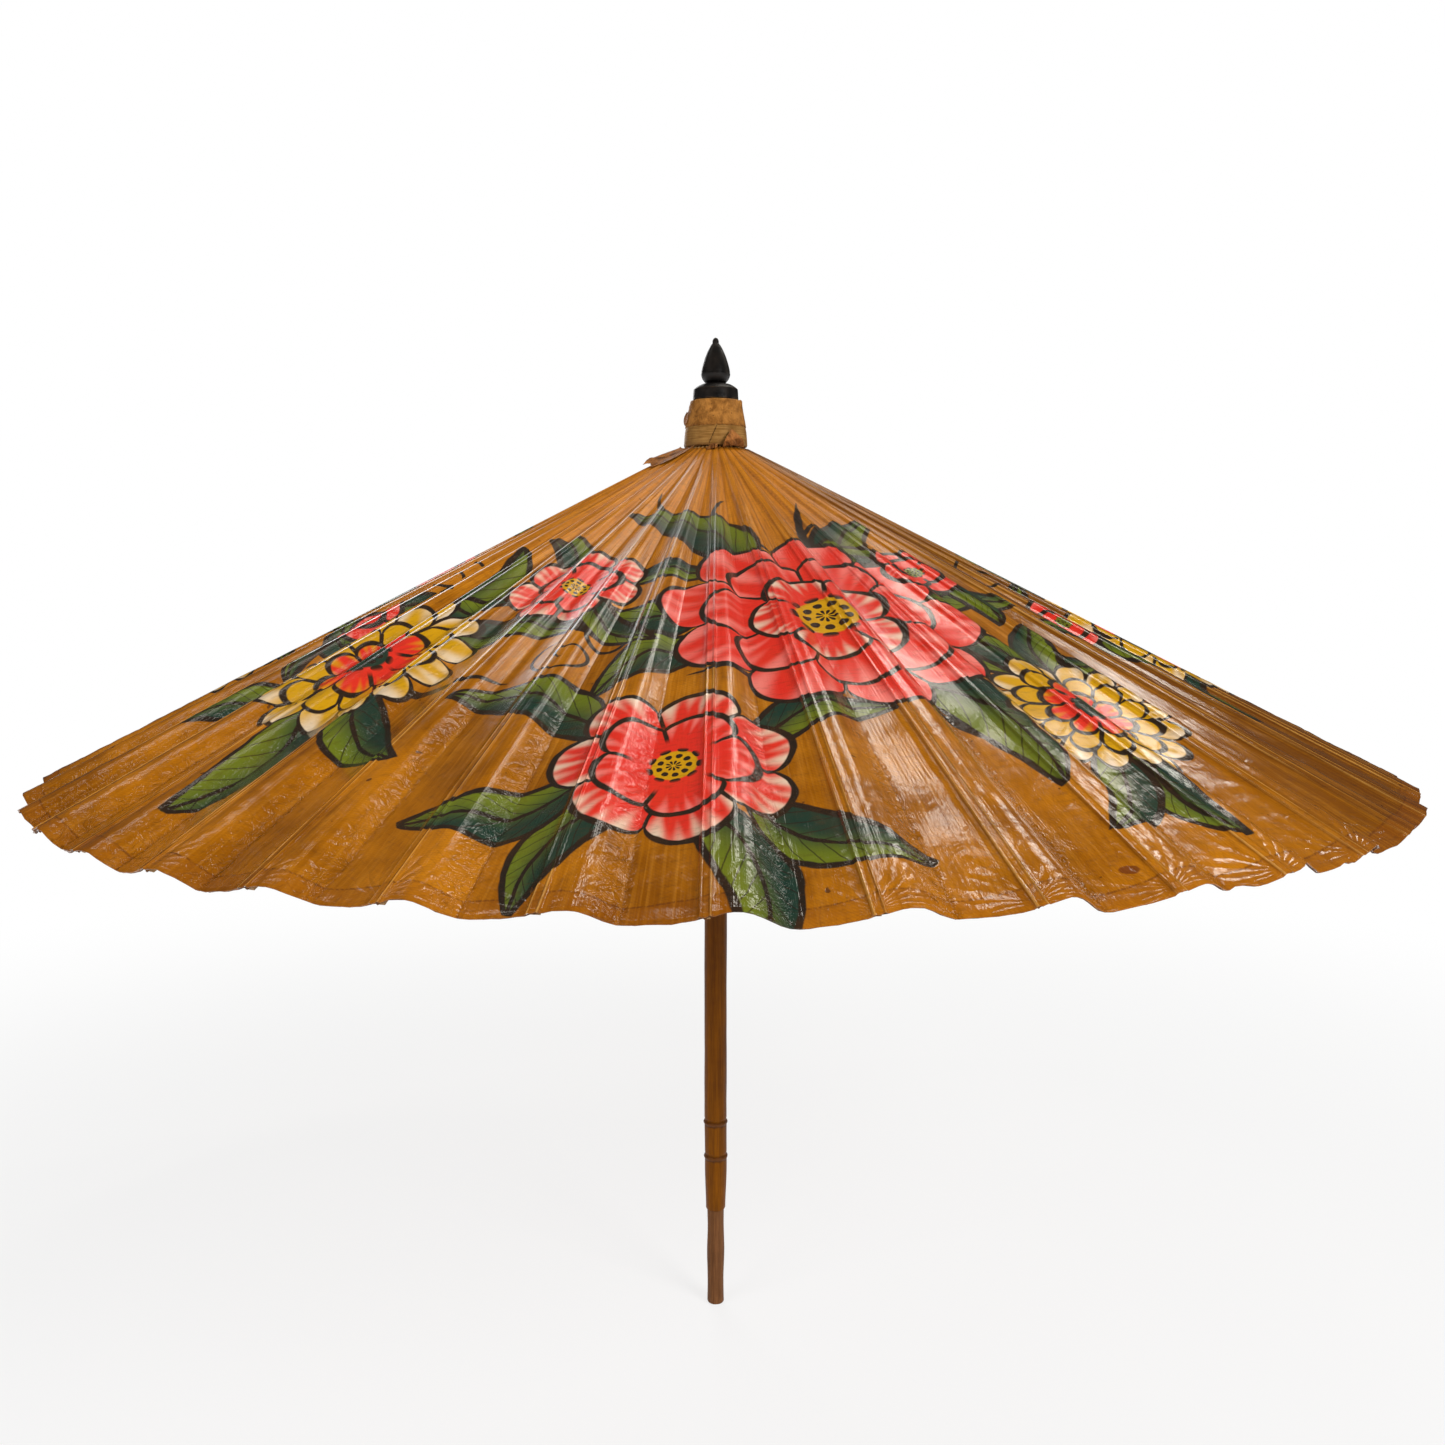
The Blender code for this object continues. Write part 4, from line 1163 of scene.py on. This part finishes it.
def make_flaps(materials):
    """Torn flaps of the paper that once covered the head's foot, and one on the head itself."""

    def left(u, v):
        wide = (0.0120 + ragged(3, u * 2.1, 0.0020)) * (0.60 + 0.75 * v - 0.55 * v * v)
        along = 0.0068 + 0.0265 * v + ragged(5, u * 2.6, 0.0050) * v - 0.0040 * max(0, u) * v
        curl = 0.0030 * max(0, -u) ** 2 * (0.5 + v) + 0.0014 * max(0, u) ** 3
        turn = LEFT_FLAP + u * wide / cone_radius(along)
        return on_cone(turn, along, PAPER_LIFT + 0.0003 + curl + abs(ragged(9, u * 3 + v * 4, 0.0008)))

    def front(u, v):
        wide = 0.0030 + ragged(13, u * 3, 0.0008)
        along = PAPER_START + 0.0042 * v + ragged(15, u * 3, 0.0016) * v
        turn = FRONT_FLAP + u * wide / 0.021
        lift = PAPER_LIFT + 0.0006 + 0.0026 * sin(pi * v) * (1 - 0.5 * abs(u)) + 0.0010 * u
        return on_cone(turn, along, lift)

    def right(u, v):
        wide = 0.0074 * sqrt(max(0.02, 1 - 0.96 * v * v)) * (1 - 0.35 * v) + ragged(23, u * 3, 0.0008)
        turn = RIGHT_FLAP + (u * wide - 0.0012 * v) / 0.0225
        radius = 0.0222 + 0.0022 * sin(pi * v) + 0.0012 * u * u + ragged(21, u * 4 + v * 5, 0.0008)
        return around(turn, radius, BAND_BOTTOM - 0.0006 + 0.0102 * v - 0.0012 * u * u)

    def side(u, v):
        height = HUB_TOP - 0.0076 - 0.0082 * v + ragged(33, u * 3, 0.0008)
        radius = wrap_radius(height) + 0.0004
        radius += 0.0017 * max(0, -u) ** 1.5 * sin(pi * (0.15 + 0.8 * v))
        turn = SIDE_FLAP + u * 0.0042 * (0.45 + 0.55 * sin(pi * v)) / 0.018
        return around(turn, radius, height)

    make_flap("crown_flap_left", materials, 11, left, 26, 18)
    make_flap("crown_flap_right", materials, 1, right, 20, 16)
    declare_papers({0: [make_flap("crown_flap_front", materials, 0, front)]})
    return make_flap("wrap_flap", materials, None, side)


def make_shaft(materials):
    """Bamboo tube with a groove and a ridge at each node, slotted for the catch."""
    levels = [DOWEL_TOP, DOWEL_TOP + 0.0006, *[DOWEL_TOP + SHAFT_TAPER * i / 8 for i in range(1, 9)]]
    levels += [SLOT_FOOT, SLOT_TOP, *[DOWEL_TOP + SHAFT_TAPER + SHAFT_ROW * i for i in range(1, 44)]]
    for node in NODE_RINGS:
        levels += [node + 0.0004 * i for i in range(-12, 13)]
    outer = []
    for level in sorted({round(z, 6) for z in levels if z < SHAFT_TOP}) + [SHAFT_TOP]:
        widened = soft_step(0, SHAFT_TAPER, level - DOWEL_TOP)
        radius = SHAFT_END_RADIUS + (SHAFT_RADIUS - SHAFT_END_RADIUS) * widened
        for node in NODE_RINGS:
            radius += RIDGE_HEIGHT * exp(-(((level - node) / RIDGE_WIDTH) ** 2))
            radius -= GROOVE_DEPTH * exp(-(((level - node - GROOVE_RISE) / GROOVE_WIDTH) ** 2))
        if level < DOWEL_TOP + 0.0003:
            radius -= 0.0003
        outer.append((radius, level))
    inner = [(SHAFT_BORE, level) for level in (SHAFT_TOP, SLOT_TOP, SLOT_FOOT, DOWEL_TOP)]
    bm = turned(outer + inner, 64)
    roughened(bm, depth=0.00028, scale=130, stretch=0.12, above=0.0062)
    gone = []
    for face in bm.faces:
        spot = face.calc_center_median()
        if SLOT_FOOT < spot.z < SLOT_TOP and spot.x > 0 and abs(spot.y) < SLOT_HALF:
            gone.append(face)
    bmesh.ops.delete(bm, geom=gone, context="FACES")
    bmesh.ops.bridge_loops(bm, edges=[edge for edge in bm.edges if edge.is_boundary])
    stand_for(new_piece("bamboo_shaft", bm, materials["shaft"]), "shaft", "pole")


def make_dowel(materials):
    """Wooden rod with a rounded foot, and a spigot up into the shaft."""
    rows = 24
    side = [(DOWEL_RADIUS - 0.0006, 0.0), (DOWEL_RADIUS - 0.0002, 0.0002), (DOWEL_RADIUS, 0.0008)]
    for i in range(1, rows + 1):
        side.append((DOWEL_RADIUS - 0.0002 * sin(i / rows * 9), 0.0008 + 0.0699 * i / rows))
    top = DOWEL_TOP + SPIGOT_LENGTH
    bm = turned([(0, 0.0), *side, (PEG_RADIUS, DOWEL_TOP - 0.0003), (PEG_RADIUS, top), (0, top)], 48, False)
    roughened(bm, depth=0.00022, scale=160, stretch=0.2, above=0.0055)
    stand_for(new_piece("wood_dowel", bm, materials["dowel"]), "grip_dowel", "pole")


def tube(bm, points, radius, sides=6):
    """A round line of thread through points."""
    rings = []
    for i, point in enumerate(points):
        way = (points[min(i + 1, len(points) - 1)] - points[max(i - 1, 0)]).normalized()
        out = way.cross(Vector((0, 0, 1))).normalized()
        up = out.cross(way)
        turns = [2 * pi * k / sides for k in range(sides)]
        rings.append([bm.verts.new(point + radius * (out * cos(t) + up * sin(t))) for t in turns])
    for first, second in zip(rings, rings[1:]):
        for k in range(sides):
            bm.faces.new((first[k], first[(k + 1) % sides], second[(k + 1) % sides], second[k]))
    bm.faces.new(reversed(rings[0]))
    bm.faces.new(rings[-1])


def make_rim_threads(materials):
    """Thread under the hem, knotted at the end of each rib."""
    for number in range(PANELS):
        bm = bmesh.new()
        middle = number * PLEATS_PER_PANEL
        points = []
        for i in range(THREAD_STEPS + 1):
            position = middle + (i / THREAD_STEPS - 0.5) * (PLEATS_PER_PANEL - 0.02)
            along = rim_reach(position) - 0.0009
            lift = paper_lift(position, along, 0) - 0.0008
            points.append(on_cone(FRONT + position * PLEAT_ANGLE, along, lift))
        tube(bm, points, THREAD_RADIUS)
        for pleat in range(middle - 1, middle + 2):
            place = Matrix.Translation(on_cone(FRONT + pleat * PLEAT_ANGLE, RIB_LENGTH + 0.0010, 0.0003))
            place @= Matrix.Diagonal((1.0, 1.0, random.Random(pleat).uniform(1.0, 1.5), 1))
            knot = bmesh.ops.create_icosphere(bm, subdivisions=2, radius=KNOT_RADIUS, matrix=place)
            for vert in knot["verts"]:
                lumps = [noise.noise(vert.co * 1600 + Vector((0, 0, 7 * axis))) for axis in range(3)]
                vert.co += KNOT_LUMP * Vector(lumps)
        bmesh.ops.recalc_face_normals(bm, faces=bm.faces)
        obj = new_piece(f"rim_thread_{tag(number)}", bm, materials["thread"])
        fold_on(obj, "rib", number)


def make_floor():
    """Pale floor that runs into a white backdrop. It keeps the object's shadow."""
    bm = bmesh.new()
    bmesh.ops.create_grid(bm, x_segments=1, y_segments=1, size=6)
    material, shader = new_material("floor", 0.9, base_color=(0.8, 0.8, 0.8, 1))
    nodes = material.node_tree.nodes
    glow = nodes.new("ShaderNodeEmission")
    plug(glow.inputs["Color"], (1, 1, 1, 1))
    blend = nodes.new("ShaderNodeMixShader")
    rays = nodes.new("ShaderNodeLightPath").outputs
    seen = Field(rays["Is Camera Ray"])
    for ray in ("Is Glossy Ray", "Is Transmission Ray"):
        seen = seen.of("MAXIMUM", rays[ray])
    x, y, _ = parts_of(coordinates(shader))
    far = length_of(x, y).ramp(0.45, 1.5)
    for slot, value in zip(blend.inputs, (seen * (far * 0.22 + 0.78), shader.outputs[0], glow.outputs[0])):
        plug(slot, value)
    plug(nodes["Material Output"].inputs["Surface"], blend.outputs[0])
    floor = new_piece("floor", bm, material)
    floor.location.z = cad_box[0][2] - 0.001


def add_lamp(name, place, target, size, power, colour=(1, 1, 1), mirrored=True):
    data = bpy.data.lights.new(name, "AREA")
    data.shape = "RECTANGLE"
    data.size, data.size_y = size
    data.energy = power
    data.color = colour
    lamp = bpy.data.objects.new(name, data)
    bpy.context.scene.collection.objects.link(lamp)
    lamp.visible_glossy = mirrored
    lamp.location = place
    lamp.rotation_euler = (Vector(target) - Vector(place)).to_track_quat("-Z", "Y").to_euler()


def make_light():
    world = bpy.data.worlds.new("studio")
    bpy.context.scene.world = world
    world.use_nodes = True
    nodes = world.node_tree.nodes
    rays = nodes.new("ShaderNodeLightPath").outputs
    seen = Field(rays["Is Camera Ray"]).of("MAXIMUM", rays["Is Transmission Ray"])
    back = nodes["Background"]
    plug(back.inputs["Color"], (1, 1, 1, 1))
    plug(back.inputs["Strength"], seen * 0.95 + 0.05)
    canopy = (0, 0, 0.5)
    warm = (1.0, 0.94, 0.84)
    add_lamp("top", (0.30, 0.45, 1.95), canopy, (0.08, 0.85), 3.4, warm)
    add_lamp("top_right", (1.10, 0.80, 1.90), canopy, (0.11, 0.70), 3.6, warm)
    add_lamp("top_left", (-0.95, 0.15, 1.90), canopy, (0.08, 0.80), 1.6, warm)
    add_lamp("front_right", (1.5, -1.6, 1.5), canopy, (1.0, 1.0), 48, mirrored=False)
    add_lamp("front_left", (-1.5, -1.5, 1.2), canopy, (1.2, 1.2), 24, mirrored=False)
    add_lamp("strip", (1.1, -1.3, 0.95), canopy, (0.16, 0.60), 2.2)
    add_lamp("back", (-0.6, 2.0, 1.3), canopy, (1.2, 1.2), 18)


def make_camera():
    data = bpy.data.cameras.new("camera")
    data.lens = LENS_MM
    data.sensor_width = SENSOR_MM
    data.shift_x = SHIFT_X
    data.shift_y = SHIFT_Y
    data.clip_start = 0.01
    camera = bpy.data.objects.new("camera", data)
    bpy.context.scene.collection.objects.link(camera)
    level = CAMERA_DISTANCE * cos(CAMERA_ELEVATION)
    rise = CAMERA_DISTANCE * sin(CAMERA_ELEVATION)
    aim = Vector((0, 0, RIM_HEIGHT))
    camera.location = aim + around(FRONT + CAMERA_TURN, level, rise)
    look = (aim - camera.location).to_track_quat("-Z", "Y").to_matrix()
    camera.rotation_euler = (look @ Matrix.Rotation(CAMERA_YAW, 3, "Y")).to_euler()
    bpy.context.scene.camera = camera


def make_materials():
    return {
        "paper": make_paper(True),
        "underside": make_paper(False),
        "strip": make_bamboo("strip_bamboo", rgb(206, 166, 112), rgb(150, 108, 60), (0.2, 0.2, 0.2), 0.5),
        "shaft": make_shaft_bamboo(),
        "dowel": make_bamboo("dowel_wood", rgb(131, 87, 52), rgb(90, 56, 30), (1, 1, 0.03), 0.5, 0.12),
        "head": make_head_wood(),
        "wrap": make_wrap_paper("wrap_paper", rgb(180, 122, 56), rgb(116, 72, 26)),
        "flap": make_wrap_paper("flap_paper", rgb(178, 116, 60), rgb(88, 50, 20)),
        "lacquer": make_lacquer(),
        "thread": make_thread(),
    }


def dress_solids(materials):
    """Materials for the solids that keep their shape."""
    looks = {"runner": "head", "hub_tie_thread": "thread", "runner_tie_thread": "thread"}
    looks |= {"catch": "strip", "catch_pin": "strip"}
    for number in range(PANELS):
        looks |= {f"rib_{tag(number)}": "strip", f"stretcher_{tag(number)}": "strip"}
    for node, look in looks.items():
        mesh = NODES[node].data
        mesh.materials.clear()
        mesh.materials.append(materials[look])


def main():
    make_camera()
    make_light()
    make_floor()
    materials = make_materials()
    dress_solids(materials)
    make_canopy_paper(materials)
    make_side_strips(materials)
    make_rim_threads(materials)
    make_finial(materials)
    make_collar(materials)
    make_turned_head(materials)
    make_wrap(materials, [make_flaps(materials)])
    make_shaft(materials)
    make_dowel(materials)
    bpy.context.scene.view_settings.view_transform = "Standard"


main()
